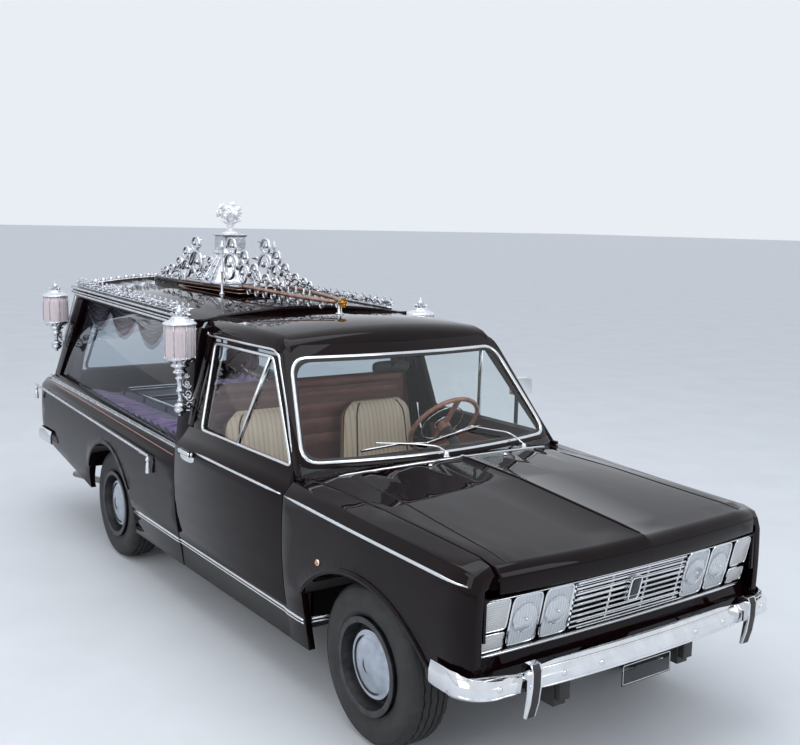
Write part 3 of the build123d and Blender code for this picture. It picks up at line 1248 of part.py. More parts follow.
# Tassel rails along the bay sides, on stand-offs, with a tassel at each end
tassel_rail_y = door_waist + 17
rail_foot_inset = 2.4
tassel_points = ((front_axle_x - 1955, 746), (front_axle_x - 3910, 846))
with BuildPart() as tassel_rails:
    for side in (1, -1):
        (x1, z1), (x2, z2) = tassel_points
        start = (x1, side * tassel_rail_y, z1)
        run = sqrt((x2 - x1) ** 2 + (z2 - z1) ** 2)
        with BuildSketch(Plane(origin=start, z_dir=((x2 - x1) / run, 0, (z2 - z1) / run))):
            Circle(8)
        extrude(amount=run)
        for share in (0.02, 0.34, 0.66, 0.96):
            x = x1 + share * (x2 - x1)
            z = z1 + share * (z2 - z1)
            taper = (bay_rear_waist - door_waist) / (bay_front_x - bay_rear_x)
            side_half = door_waist + taper * (bay_front_x - x)
            inner, outer = sorted((side * (side_half - rail_foot_inset), side * tassel_rail_y))
            block((x - 6, inner, z - 6), (x + 6, outer, z + 6))
        for x, z in tassel_points:
            with BuildSketch(Plane.XY.offset(z - 90)):
                with Locations((x, side * tassel_rail_y)):
                    Circle(14)
            extrude(amount=92)
save(tassel_rails, "tassel_rails")
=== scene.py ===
import bpy
import bmesh
import math
import random
from mathutils import Matrix, Vector
from mathutils.bvhtree import BVHTree


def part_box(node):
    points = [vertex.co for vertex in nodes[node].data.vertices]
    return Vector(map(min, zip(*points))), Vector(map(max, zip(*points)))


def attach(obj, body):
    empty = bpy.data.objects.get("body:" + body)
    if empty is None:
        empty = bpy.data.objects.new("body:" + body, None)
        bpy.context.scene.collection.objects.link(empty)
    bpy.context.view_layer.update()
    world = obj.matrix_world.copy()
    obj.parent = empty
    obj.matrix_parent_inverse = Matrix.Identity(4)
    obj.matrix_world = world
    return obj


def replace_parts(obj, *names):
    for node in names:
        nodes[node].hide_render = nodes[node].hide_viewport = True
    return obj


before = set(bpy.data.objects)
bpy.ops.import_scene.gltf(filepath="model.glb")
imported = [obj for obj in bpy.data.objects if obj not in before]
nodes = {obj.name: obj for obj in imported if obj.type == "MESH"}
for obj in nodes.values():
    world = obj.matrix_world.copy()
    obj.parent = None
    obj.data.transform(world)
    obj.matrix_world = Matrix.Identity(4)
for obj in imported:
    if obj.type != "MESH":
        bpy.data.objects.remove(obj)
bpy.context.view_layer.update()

print("stage: frame loaded")

# Places taken from the frame, in metres: +X forward, +Y left, +Z up
frontTyreLow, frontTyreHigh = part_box("tyre_front_left")
rearTyreLow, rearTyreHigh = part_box("tyre_rear_left")
frontAxle = (frontTyreLow.x + frontTyreHigh.x) / 2
rearAxle = (rearTyreLow.x + rearTyreHigh.x) / 2
hubHeight = (frontTyreLow.z + frontTyreHigh.z) / 2
bothSides = (("left", 1), ("right", -1))
aheadX, leftY, riseZ = Vector((1, 0, 0)), Vector((0, 1, 0)), Vector((0, 0, 1))
random.seed(7)


def at(x, y, z):
    # millimetres counted from the front axle, the middle of the car and the ground
    return Vector((frontAxle + x / 1000, y / 1000, z / 1000))


# Shader helpers
def newMaterial(name):
    mat = bpy.data.materials.new(name)
    mat.use_nodes = True
    mat.node_tree.nodes.clear()
    return mat


def addNode(owner, kind, sockets=None, **settings):
    # each socket gets a constant, or a link from another node's output
    node = owner.node_tree.nodes.new(kind)
    for key, value in settings.items():
        setattr(node, key, value)
    for key, value in (sockets or {}).items():
        if isinstance(value, bpy.types.NodeSocket):
            owner.node_tree.links.new(value, node.inputs[key])
        else:
            node.inputs[key].default_value = value
    return node


def maths(owner, operation, first, second=0.0):
    return addNode(owner, "ShaderNodeMath", {0: first, 1: second}, operation=operation).outputs["Value"]


def objectPlace(mat):
    return addNode(mat, "ShaderNodeTexCoord").outputs["Object"]


def noise(mat, scale, detail=3.0):
    # noise in object space, so it stays on the piece
    sockets = {"Vector": objectPlace(mat), "Scale": scale, "Detail": detail, "Roughness": 0.55}
    return addNode(mat, "ShaderNodeTexNoise", sockets).outputs["Fac"]


def waves(mat, scale, direction, distortion=0.0):
    sockets = {"Vector": objectPlace(mat), "Scale": scale, "Distortion": distortion}
    return addNode(mat, "ShaderNodeTexWave", sockets, bands_direction=direction).outputs["Fac"]


def ramp(mat, fac, *stops):
    node = addNode(mat, "ShaderNodeValToRGB", {"Fac": fac})
    while len(node.color_ramp.elements) < len(stops):
        node.color_ramp.elements.new(0.5)
    for element, (place, colour) in zip(node.color_ramp.elements, stops):
        element.position = place
        element.color = (*colour, 1.0)
    return node.outputs["Color"]


def bump(mat, height, strength, distance):
    sockets = {"Height": height, "Strength": strength, "Distance": distance}
    return addNode(mat, "ShaderNodeBump", sockets).outputs["Normal"]


def principled(mat, sockets):
    return addNode(mat, "ShaderNodeBsdfPrincipled", sockets).outputs["BSDF"]


def mixed(owner, fac, first, second):
    return addNode(owner, "ShaderNodeMixShader", {"Fac": fac, 1: first, 2: second}).outputs["Shader"]


def finished(mat, shader):
    addNode(mat, "ShaderNodeOutputMaterial", {"Surface": shader})
    return mat


def surface(name, dark, light, rough, spread, metal, scale, relief=None, extra=None):
    # noise varies the colour and the roughness; relief is the scale, strength and depth of a finer noise
    mat = newMaterial(name)
    tex = noise(mat, scale)
    reach = {"Value": tex, "To Min": max(rough - spread, 0.0), "To Max": rough + spread}
    sockets = {"Base Color": ramp(mat, tex, (0.3, dark), (0.7, light)), "Metallic": metal, **(extra or {}),
               "Roughness": addNode(mat, "ShaderNodeMapRange", reach).outputs["Result"]}
    if relief:
        sockets["Normal"] = bump(mat, noise(mat, relief[0], 4.0), *relief[1:])
    return finished(mat, principled(mat, sockets))


def paneMaterial(name, tint):
    # a clear pane: what is behind shows through, and its outer face shines more at a glancing angle
    mat = newMaterial(name)
    clear = addNode(mat, "ShaderNodeBsdfTransparent", {"Color": (*tint, 1.0)})
    shine = addNode(mat, "ShaderNodeBsdfGlossy", {"Roughness": 0.015, "Color": (1.0, 1.0, 1.0, 1.0)})
    edge = addNode(mat, "ShaderNodeFresnel", {"IOR": 1.45}).outputs["Fac"]
    outside = maths(mat, "SUBTRACT", 1.0, addNode(mat, "ShaderNodeNewGeometry").outputs["Backfacing"])
    shown = maths(mat, "MULTIPLY", edge, outside)
    return finished(mat, mixed(mat, shown, clear.outputs["BSDF"], shine.outputs["BSDF"]))


def lensMaterial(name, tint, cover, flutes, scale):
    # fluted lamp glass: part of it clear, part of it a pale ribbed surface
    mat = newMaterial(name)
    clear = addNode(mat, "ShaderNodeBsdfTransparent", {"Color": (1.0, 1.0, 1.0, 1.0)}).outputs["BSDF"]
    wave = waves(mat, scale, flutes, 0.4)
    shade = ramp(mat, wave, (0.2, tuple(c * 0.82 for c in tint)), (0.8, tint))
    body = principled(mat, {"Base Color": shade, "Roughness": 0.08, "Normal": bump(mat, wave, 0.6, 0.002)})
    return finished(mat, mixed(mat, cover, clear, body))


def twoFinish(name, first, second, pick):
    # two finishes on one node, told apart by where a point lies; each is dark, light, scale and inputs
    mat = newMaterial(name)
    shaders = [principled(mat,
                          {"Base Color": ramp(mat, noise(mat, scale), (0.3, dark), (0.7, light)),
                           **inputs}) for dark, light, scale, inputs in (first, second)]
    place = addNode(mat, "ShaderNodeSeparateXYZ", {"Vector": objectPlace(mat)}).outputs
    normal = addNode(mat, "ShaderNodeNewGeometry").outputs["Normal"]
    facing = addNode(mat, "ShaderNodeSeparateXYZ", {"Vector": normal}).outputs
    return finished(mat, mixed(mat, pick(mat, place, facing), *shaders))


splitLook = {"bladeFoot": 0.4385, "bracketOut": 0.54, "overrider": 0.570, "rubberHalf": 0.0165,
             "rubberFacing": 0.25, "mirrorFoot": 1.105, "mirrorInner": 0.705}


def bumperPick(mat, place, facing):
    # black brackets below the blade, and a rubber face on each overrider
    aside = maths(mat, "ABSOLUTE", place["Y"])
    under = maths(mat, "LESS_THAN", place["Z"], splitLook["bladeFoot"])
    brackets = maths(mat, "MULTIPLY", under, maths(mat, "LESS_THAN", aside, splitLook["bracketOut"]))
    off = maths(mat, "ABSOLUTE", maths(mat, "SUBTRACT", aside, splitLook["overrider"]))
    near = maths(mat, "LESS_THAN", off, splitLook["rubberHalf"])
    ahead = maths(mat, "GREATER_THAN", facing["X"], splitLook["rubberFacing"])
    return maths(mat, "MAXIMUM", brackets, maths(mat, "MULTIPLY", near, ahead))


def mirrorPick(mat, place, facing):
    # the head of the door mirror
    above = maths(mat, "GREATER_THAN", place["Z"], splitLook["mirrorFoot"])
    return maths(mat, "MULTIPLY", above, maths(mat, "GREATER_THAN", place["Y"], splitLook["mirrorInner"]))


# Finishes: dark, light, roughness and its spread, metal, scale and relief
paintLook = {"dark": (0.0038, 0.0013, 0.0017), "light": (0.0070, 0.0022, 0.0029), "rough": 0.30,
             "scale": 6.0,
             "coat": {"Coat Weight": 1.0, "Coat Roughness": 0.025, "Coat IOR": 1.27,
                      "Specular IOR Level": 0.0}}
chromeLook = {"dark": (0.72, 0.73, 0.75), "light": (0.84, 0.85, 0.86), "scale": 14.0}
blackPaint = surface("gloss_black_paint", paintLook["dark"], paintLook["light"], paintLook["rough"], 0.05,
                     0.0, paintLook["scale"], (420.0, 0.04, 0.0002), paintLook["coat"])
chrome = surface("bright_chrome", chromeLook["dark"], chromeLook["light"], 0.09, 0.05, 1.0,
                 chromeLook["scale"])
silver = surface("cast_silver", (0.52, 0.53, 0.57), (0.86, 0.87, 0.90), 0.24, 0.10, 1.0, 40.0,
                 (160.0, 0.25, 0.0006))
silverWhite = surface("white_silver", (0.66, 0.67, 0.71), (0.92, 0.93, 0.95), 0.34, 0.1, 0.75, 60.0,
                      (220.0, 0.25, 0.0006))
petalWhite = surface("petal_silver", (0.80, 0.81, 0.83), (0.95, 0.95, 0.97), 0.38, 0.08, 0.35, 50.0)
hubChrome = surface("hubcap_chrome", (0.34, 0.38, 0.44), (0.56, 0.60, 0.66), 0.16, 0.06, 1.0, 14.0)
mirrorGlass = surface("mirror_glass", (0.80, 0.82, 0.84), (0.86, 0.88, 0.90), 0.02, 0.01, 1.0, 10.0)
gold = surface("old_gold", (0.50, 0.27, 0.07), (0.86, 0.56, 0.20), 0.28, 0.1, 1.0, 50.0, (200.0, 0.3, 0.0005))
bronze = surface("bronze_rail", (0.26, 0.14, 0.10), (0.55, 0.36, 0.29), 0.35, 0.1, 0.9, 30.0,
                 (180.0, 0.3, 0.0006))
underPaint = surface("underside_black", (0.010, 0.010, 0.010), (0.028, 0.026, 0.024), 0.62, 0.1, 0.0, 9.0,
                     (120.0, 0.2, 0.001))
engineIron = surface("engine_iron", (0.06, 0.06, 0.06), (0.14, 0.13, 0.12), 0.6, 0.1, 0.6, 12.0,
                     (200.0, 0.3, 0.0008))
exhaustSteel = surface("exhaust_steel", (0.16, 0.12, 0.10), (0.34, 0.30, 0.27), 0.48, 0.12, 0.9, 16.0,
                       (90.0, 0.2, 0.0006))
tyreRubber = surface("tyre_rubber", (0.012, 0.012, 0.012), (0.030, 0.029, 0.028), 0.66, 0.08, 0.0, 14.0,
                     (260.0, 0.2, 0.0004))
wheelPaint = surface("wheel_steel", (0.030, 0.030, 0.033), (0.075, 0.074, 0.076), 0.42, 0.1, 0.5, 20.0,
                     (160.0, 0.1, 0.0003))
slotDark = surface("slot_shadow", (0.003, 0.003, 0.003), (0.008, 0.008, 0.008), 0.8, 0.05, 0.0, 30.0)
rubberBlack = surface("black_rubber", (0.008, 0.008, 0.008), (0.020, 0.019, 0.018), 0.55, 0.08, 0.0, 30.0,
                      (300.0, 0.15, 0.0003))
plateBlack = surface("plate_black", (0.008, 0.008, 0.009), (0.016, 0.016, 0.018), 0.3, 0.05, 0.0, 30.0)
whiteLine = surface("white_paint", (0.62, 0.62, 0.60), (0.78, 0.78, 0.76), 0.4, 0.05, 0.0, 40.0)
pinkLine = surface("pink_pinstripe", (0.26, 0.10, 0.10), (0.42, 0.18, 0.17), 0.3, 0.05, 0.0, 50.0)
enamelDark = surface("dark_enamel", (0.020, 0.020, 0.026), (0.050, 0.050, 0.060), 0.2, 0.05, 0.5, 50.0)
darkTray = surface("lamp_tray", (0.015, 0.015, 0.017), (0.04, 0.04, 0.045), 0.4, 0.05, 0.0, 30.0)
lampClear = surface("lamp_glass", (0.62, 0.65, 0.66), (0.85, 0.87, 0.88), 0.14, 0.05, 0.3, 60.0)
redLens = surface("red_lens", (0.30, 0.010, 0.008), (0.42, 0.02, 0.014), 0.16, 0.04, 0.0, 30.0)
amberLens = surface("amber_lens", (0.60, 0.16, 0.02), (0.80, 0.26, 0.04), 0.15, 0.04, 0.0, 60.0)
dashBlack = surface("dash_black", (0.012, 0.011, 0.011), (0.030, 0.028, 0.027), 0.55, 0.08, 0.0, 25.0,
                    (600.0, 0.3, 0.0003))
dialFace = surface("dial_face", (0.010, 0.010, 0.012), (0.025, 0.025, 0.028), 0.35, 0.05, 0.0, 60.0)
tanRim = surface("tan_bakelite", (0.36, 0.15, 0.10), (0.50, 0.24, 0.17), 0.28, 0.06, 0.0, 20.0)
creamLeather = surface("cream_leather", (0.72, 0.57, 0.41), (0.84, 0.70, 0.54), 0.46, 0.08, 0.0, 11.0,
                       (380.0, 0.08, 0.0003))
tanLeather = surface("tan_leather", (0.26, 0.12, 0.06), (0.40, 0.21, 0.11), 0.45, 0.08, 0.0, 11.0,
                     (380.0, 0.25, 0.0004))
pipingDark = surface("dark_piping", (0.030, 0.018, 0.014), (0.060, 0.038, 0.030), 0.5, 0.08, 0.0, 30.0)
maroonLeather = surface("maroon_leather", (0.15, 0.055, 0.042), (0.23, 0.095, 0.075), 0.5, 0.08, 0.0, 9.0,
                        (360.0, 0.06, 0.0003))
rollBrown = surface("brown_padding", (0.24, 0.095, 0.075), (0.34, 0.155, 0.125), 0.46, 0.08, 0.0, 7.0,
                    (340.0, 0.06, 0.0003))
purpleVelvet = surface("purple_velvet", (0.055, 0.018, 0.085), (0.14, 0.05, 0.20), 0.85, 0.06, 0.0, 16.0,
                       (900.0, 0.3, 0.0004), {"Sheen Weight": 0.8, "Sheen Roughness": 0.4})
velvetDeep = surface("velvet_drape", (0.28, 0.13, 0.44), (0.80, 0.46, 0.84), 0.75, 0.08, 0.0, 9.0,
                     (700.0, 0.35, 0.0005), {"Sheen Weight": 0.9, "Sheen Roughness": 0.35})
curtainPlum = surface("plum_curtain", (0.020, 0.012, 0.020), (0.060, 0.032, 0.055), 0.8, 0.08, 0.0, 14.0,
                      (800.0, 0.35, 0.0004), {"Sheen Weight": 0.7, "Sheen Roughness": 0.4})
fringe = surface("silver_fringe", (0.34, 0.34, 0.38), (0.62, 0.62, 0.66), 0.55, 0.1, 0.4, 90.0,
                 (500.0, 0.4, 0.0006))
clearGlass = paneMaterial("clear_glass", (0.95, 0.97, 0.97))
bayGlass = paneMaterial("bay_glass", (0.84, 0.87, 0.89))
lampLens = lensMaterial("fluted_lens", (0.80, 0.84, 0.88), 0.42, "Y", 26.0)
markerLens = lensMaterial("marker_lens", (0.80, 0.80, 0.80), 0.72, "Z", 34.0)
lanternGlass = lensMaterial("lantern_glass", (0.88, 0.76, 0.78), 0.80, "X", 46.0)
chromeFinish = (chromeLook["dark"], chromeLook["light"], chromeLook["scale"],
                {"Metallic": 1.0, "Roughness": 0.10})
rubberFinish = ((0.008, 0.008, 0.008), (0.020, 0.019, 0.018), 220.0, {"Roughness": 0.5})
paintFinish = (paintLook["dark"], paintLook["light"], paintLook["scale"],
               {"Roughness": paintLook["rough"], **paintLook["coat"]})
bumperChrome = twoFinish("bumper_chrome", chromeFinish, rubberFinish, bumperPick)
mirrorDoor = twoFinish("door_paint_and_mirror", paintFinish, chromeFinish, mirrorPick)

nodeLooks = ((blackPaint,
              ("fender_left", "fender_right", "bonnet", "cowl", "cab_roof", "bay_side_left",
               "bay_side_right", "bay_roof", "rear_frame", "tailgate", "nose_panel", "door_right")),
             (mirrorDoor, ("door_left",)),
             (underPaint,
              ("underbody", "front_crossmember", "rear_axle", "fuel_tank", "knuckle_left",
               "knuckle_right")), (engineIron, ("engine",)), (exhaustSteel, ("exhaust",)),
             (clearGlass, ("windscreen", "door_glass_left", "door_glass_right", "partition_glass")),
             (bayGlass, ("bay_glass", "tailgate_glass")), (lampClear, ("headlamps",)),
             (chrome, ("grille", "rear_bumper", "wipers", "deck_rails")),
             (bumperChrome, ("front_bumper",)), (plateBlack, ("front_plate",)), (redLens, ("tail_lamps",)),
             (maroonLeather, ("partition",)), (purpleVelvet, ("coffin_deck",)),
             (dashBlack, ("dashboard",)), (tanRim, ("steering_wheel",)),
             (creamLeather, ("seat_left", "seat_right")),
             (silver, ("lanterns", "cresting", "roof_ornament", "roof_scrolls", "tassel_rails")),
             (tyreRubber,
              tuple(f"tyre_{end}_{hand}" for end in ("front", "rear") for hand, side in bothSides)),
             (wheelPaint,
              tuple(f"rim_{end}_{hand}" for end in ("front", "rear") for hand, side in bothSides)),)
panelLook = {"weld": 0.00002, "edge": 0.003, "edgeAngle": 28.0, "segments": 3}


def finishPanel(obj):
    # smooth faces, with each sharp edge rounded by a narrow bevel
    for face in obj.data.polygons:
        face.use_smooth = True
    obj.modifiers.new("weld", "WELD").merge_threshold = panelLook["weld"]
    bevel = obj.modifiers.new("rounded_edges", "BEVEL")
    bevel.width = panelLook["edge"]
    bevel.segments = panelLook["segments"]
    bevel.limit_method = "ANGLE"
    bevel.angle_limit = math.radians(panelLook["edgeAngle"])
    bevel.harden_normals = True
    bevel.use_clamp_overlap = True


for look, names in nodeLooks:
    for name in names:
        nodes[name].data.materials.clear()
        nodes[name].data.materials.append(look)
        finishPanel(nodes[name])
print("stage: materials on the frame's nodes")

# Mesh helpers, in metres
def rays(count, first=aheadX, second=leftY, shift=0.0):
    # directions spread evenly round, from the first towards the second
    angles = [2 * math.pi * (k + shift) / count for k in range(count)]
    return [first * math.cos(a) + second * math.sin(a) for a in angles]


def evenly(first, last, count):
    return [first + (last - first) * k / count for k in range(count + 1)]


def signedPower(value, power):
    return math.copysign(abs(value) ** power, value)


def oval(spot, wide, tall, power, lift=0.0, count=40):
    # a rounded rectangle; spot is its middle with its level, rising and outward directions
    middle, level, rise, out = spot
    ring = []
    for k in range(count):
        angle = 2 * math.pi * (k + 0.5) / count
        a, b = signedPower(math.cos(angle), 2 / power), signedPower(math.sin(angle), 2 / power)
        ring.append(middle + level * (wide * a) + rise * (tall * b) + out * lift)
    return ring


class Shape:
    # gathers rings of points and their faces, and becomes one piece
    def __init__(self):
        self.verts, self.faces, self.paints = [], [], []
        self.paint = 0

    def face(self, corners):
        self.faces.append(tuple(corners))
        self.paints.append(self.paint)

    def rings(self, rings, closed=False):
        # bands from ring to ring, with an end cap on each side unless they close
        start, count = len(self.verts), len(rings[0])
        for ring in rings:
            self.verts.extend(ring)
        for i in range(len(rings) if closed else len(rings) - 1):
            low, high = start + i * count, start + ((i + 1) % len(rings)) * count
            for j in range(count):
                k = (j + 1) % count
                self.face((low + j, low + k, high + k, high + j))
        if not closed:
            self.face(start + j for j in reversed(range(count)))
            self.face(start + (len(rings) - 1) * count + j for j in range(count))

    def sweep(self, path, section, up, closed=False, sizes=None):
        # the section is set square to the path, its second axis along up
        rings = []
        for i, point in enumerate(path):
            before = path[i - 1] if i > 0 or closed else point
            after = path[(i + 1) % len(path)] if i < len(path) - 1 or closed else point
            ahead = (after - before).normalized()
            side = ahead.cross(up[i] if isinstance(up, list) else up).normalized()
            top = side.cross(ahead).normalized()
            size = sizes[i] if sizes else 1.0
            rings.append([point + (side * a + top * b) * size for a, b in section])
        self.rings(rings, closed)

    def lathe(self, centre, profile, axis=riseZ, steps=24, ribs=(0, 0.0)):
        # profile holds (radius, distance along the axis); ribs is (count, depth)
        side = axis.orthogonal().normalized()
        spokes = rays(steps, side, axis.cross(side))
        swell = [1 + ribs[1] * math.cos(ribs[0] * 2 * math.pi * k / steps) for k in range(steps)]
        self.rings([[centre + axis * along + ray * (radius * grow) for ray, grow in zip(spokes, swell)]
                    for radius, along in profile])

    def tiers(self, spot, wide, tall, power, rows, count=40):
        # ovals one over another: each row is (share, height), or (wide share, tall share, power, height)
        rows = [row if len(row) == 4 else (row[0], row[0], power, row[1]) for row in rows]
        self.rings([oval(spot, wide * a, tall * b, own, lift, count) for a, b, own, lift in rows])

    def ball(self, centre, radius, steps=8, tall=1.0):
        angles = [math.pi * k / 6 for k in range(7)]
        self.lathe(centre, [(radius * math.sin(a) + 0.0002, -radius * tall * math.cos(a)) for a in angles],
                   riseZ, steps)

    def sheet(self, rows):
        # an open grid of points
        start, width = len(self.verts), len(rows[0])
        for row in rows:
            self.verts.extend(row)
        for i in range(len(rows) - 1):
            for j in range(width - 1):
                a = start + i * width + j
                self.face((a, a + 1, a + width + 1, a + width))

    def piece(self, name, mats, body="root", outward=True):
        mesh = bpy.data.meshes.new(name)
        mesh.from_pydata([tuple(v) for v in self.verts], [], self.faces)
        for mat in mats:
            mesh.materials.append(mat)
        for face, paint in zip(mesh.polygons, self.paints):
            face.material_index = paint
            face.use_smooth = True
        if outward:
            work = bmesh.new()
            work.from_mesh(mesh)
            bmesh.ops.recalc_face_normals(work, faces=work.faces)
            work.to_mesh(mesh)
            work.free()
        mesh.update()
        obj = bpy.data.objects.new(name, mesh)
        bpy.context.scene.collection.objects.link(obj)
        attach(obj, body)
        return obj


def sharpen(obj, angle=38.0):
    # edges sharper than the angle stay crisp under smooth shading
    work = bmesh.new()
    work.from_mesh(obj.data)
    for edge in work.edges:
        edge.smooth = len(edge.link_faces) != 2 or edge.calc_face_angle(0.0) < math.radians(angle)
    work.to_mesh(obj.data)
    work.free()
    return obj


def roundSection(radius, sides=10):
    angles = [2 * math.pi * k / sides for k in range(sides)]
    return [(radius * math.cos(a), radius * math.sin(a)) for a in angles]


def beadSection(width, height, sunk=0.002, steps=7):
    half = width / 2
    arc = [(half * math.cos(a), height * math.sin(a)) for a in evenly(0.0, math.pi, steps)]
    return [(half, -sunk)] + arc + [(-half, -sunk)]


def boxSection(width, height, sunk=0.002, lip=0.0015):
    half = width / 2
    return [(half, -sunk), (half, height - lip), (half - lip, height), (lip - half, height),
            (-half, height - lip), (-half, -sunk)]


def taper(count, ends=3, least=0.35):
    return [min(1.0, least + (1 - least) * min(i, count - 1 - i) / ends) for i in range(count)]


def rounded(points, radius, steps=6, closed=True):
    # a corner becomes a short curve
    out = []
    for i, corner in enumerate(points):
        if not closed and i in (0, len(points) - 1):
            out.append(corner)
            continue
        back, ahead = points[i - 1] - corner, points[(i + 1) % len(points)] - corner
        size = min(radius, back.length * 0.49, ahead.length * 0.49)
        first, final = corner + back.normalized() * size, corner + ahead.normalized() * size
        out.extend(first * (1 - t) ** 2 + corner * 2 * t * (1 - t) + final * t ** 2
                   for t in evenly(0.0, 1.0, steps))
    return out


def filled(points, gap, closed=False):
    # points added so that none are further apart than the gap
    out = []
    for a, b in zip(points, points[1:] + points[:1] if closed else points[1:]):
        count = max(1, math.ceil((b - a).length / gap))
        out.extend(a.lerp(b, k / count) for k in range(count))
    return out if closed else out + [points[-1]]


def curved(points, radius, steps, gap):
    # an open path with round corners
    return filled(rounded(points, radius, steps, False), gap)


def trim(name, mat, body, path, section, up, closed=False, sizes=None):
    # a piece that is one strip along a path
    shape = Shape()
    shape.sweep(path, section, up, closed, sizes)
    return shape.piece(name, [mat], body)


def treeOf(*names):
    # surfaces of the frame, to set pieces down on
    verts, faces = [], []
    for name in names:
        mesh = nodes[name].data
        start = len(verts)
        verts.extend(v.co.copy() for v in mesh.vertices)
        faces.extend([start + i for i in face.vertices] for face in mesh.polygons)
    return BVHTree.FromPolygons(verts, faces)


def landing(tree, place, toward):
    # where a ray meets the frame, or else the nearest place on it
    point = tree.ray_cast(place, toward, 3.0)[0]
    return point if point is not None else tree.find_nearest(place)[0]


def onSide(tree, side, x, z):
    return landing(tree, at(x, side * 1100, z), leftY * -side)


def onTop(tree, x, y):
    return landing(tree, at(x, y, 1900), -riseZ)


def onNose(tree, y, z):
    return landing(tree, at(1400, y, z), -aheadX)


bodyTree = treeOf("fender_left", "fender_right", "door_left", "door_right", "bay_side_left", "bay_side_right",
                  "underbody", "cowl", "cab_roof")
bonnetTree, bayRoofTree, roofTree = treeOf("bonnet"), treeOf("bay_roof"), treeOf("cab_roof")
doorTrees = {hand: treeOf(f"door_{hand}") for hand, side in bothSides}


def sideLine(stations, side):
    # points on the body side under a line of (x, z) places
    path = filled([at(x, side * 1100, z) for x, z in stations], 0.04)
    return [landing(bodyTree, p, leftY * -side) for p in path]


# Bright strips along the body
stripLook = {"waist": (0.013, 0.006), "sill": (0.012, 0.005), "sillLines": ((0, 1.0), (16, 0.6)),
             "fender": ((600, 813), (-543, 857)), "door": ((-572, 858), (-1425, 864)),
             "sillLine": ((-384, 360), (-2235, 374))}
for hand, side in bothSides:
    for spot, body in (("fender", "root"), ("door", f"door_{hand}")):
        path = sideLine(stripLook[spot], side)
        trim(f"{spot}_strip_{hand}", chrome, body, path, beadSection(*stripLook["waist"]),
             Vector((0, side, 0.25)), sizes=taper(len(path)))
    shape = Shape()
    wide, high = stripLook["sill"]
    for drop, share in stripLook["sillLines"]:
        path = sideLine([(x, z - drop) for x, z in stripLook["sillLine"]], side)
        shape.sweep(path, beadSection(wide * share, high), Vector((0, side, 0.2)))
    shape.piece(f"sill_strips_{hand}", [chrome], "root")
print("stage: body strips")

# Windscreen surround and its rubber; base and top hold x, the bow forward, the half width and the level
screenLook = {"base": (-582, 112, 695, 961), "top": (-885, 62, 588, 1375), "inset": 5, "corner": 75,
              "out": 0.80, "up": 0.59, "wide": 0.018, "high": 0.008, "points": 160,
              "cornerReach": (26, 14),
              "border": (((-48, 0.001), (-12, 0.004), (5, 0.004)),
                         ((5, 0.004), (19, 0.0035), (22, 0.001)))}
baseX, baseBow, baseHalf, baseZ = screenLook["base"]
topX, topBow, topHalf, topZ = screenLook["top"]


def screenPlace(y, z, lift):
    # a place off the bowed screen, and the way out there
    low = baseX + baseBow * (1 - (y / baseHalf) ** 2)
    high = topX + topBow * (1 - (y / topHalf) ** 2)
    out = Vector((screenLook["out"], screenLook["out"] * 2 * baseBow * y / baseHalf ** 2,
                  screenLook["up"])).normalized()
    return at(low + (high - low) * (z - baseZ) / (topZ - baseZ), y, z) + out * lift, out


def screenLoop(inset, lift):
    # places evenly round the screen, each inset from its edge
    aside, below = (max(inset, -reach) for reach in screenLook["cornerReach"])
    flat = [Vector((-baseHalf + aside, baseZ + below, 0)), Vector((baseHalf - aside, baseZ + below, 0)),
            Vector((topHalf - aside, topZ - inset, 0)), Vector((-topHalf + aside, topZ - inset, 0))]
    points = rounded(flat, screenLook["corner"], 8)
    spans = [(points[(i + 1) % len(points)] - p).length for i, p in enumerate(points)]
    loop = []
    for k in range(screenLook["points"]):
        left = sum(spans) * k / screenLook["points"]
        i = 0
        while left > spans[i]:
            left -= spans[i]
            i += 1
        spot = points[i].lerp(points[(i + 1) % len(points)], left / spans[i])
        loop.append(screenPlace(spot.x, spot.y, lift))
    return loop


path, ups = zip(*screenLoop(screenLook["inset"], 0.002))
trim("screen_surround", chrome, "root", path,
     beadSection(screenLook["wide"], screenLook["high"]), list(ups), closed=True)
shape = Shape()
for paint, rows in enumerate(screenLook["border"]):
    shape.paint = paint
    bands = [[place for place, out in screenLoop(inset, lift)] for inset, lift in rows]
    shape.sheet([band + band[:1] for band in bands])
shape.piece("screen_rubber", [blackPaint, rubberBlack], "root", outward=False)

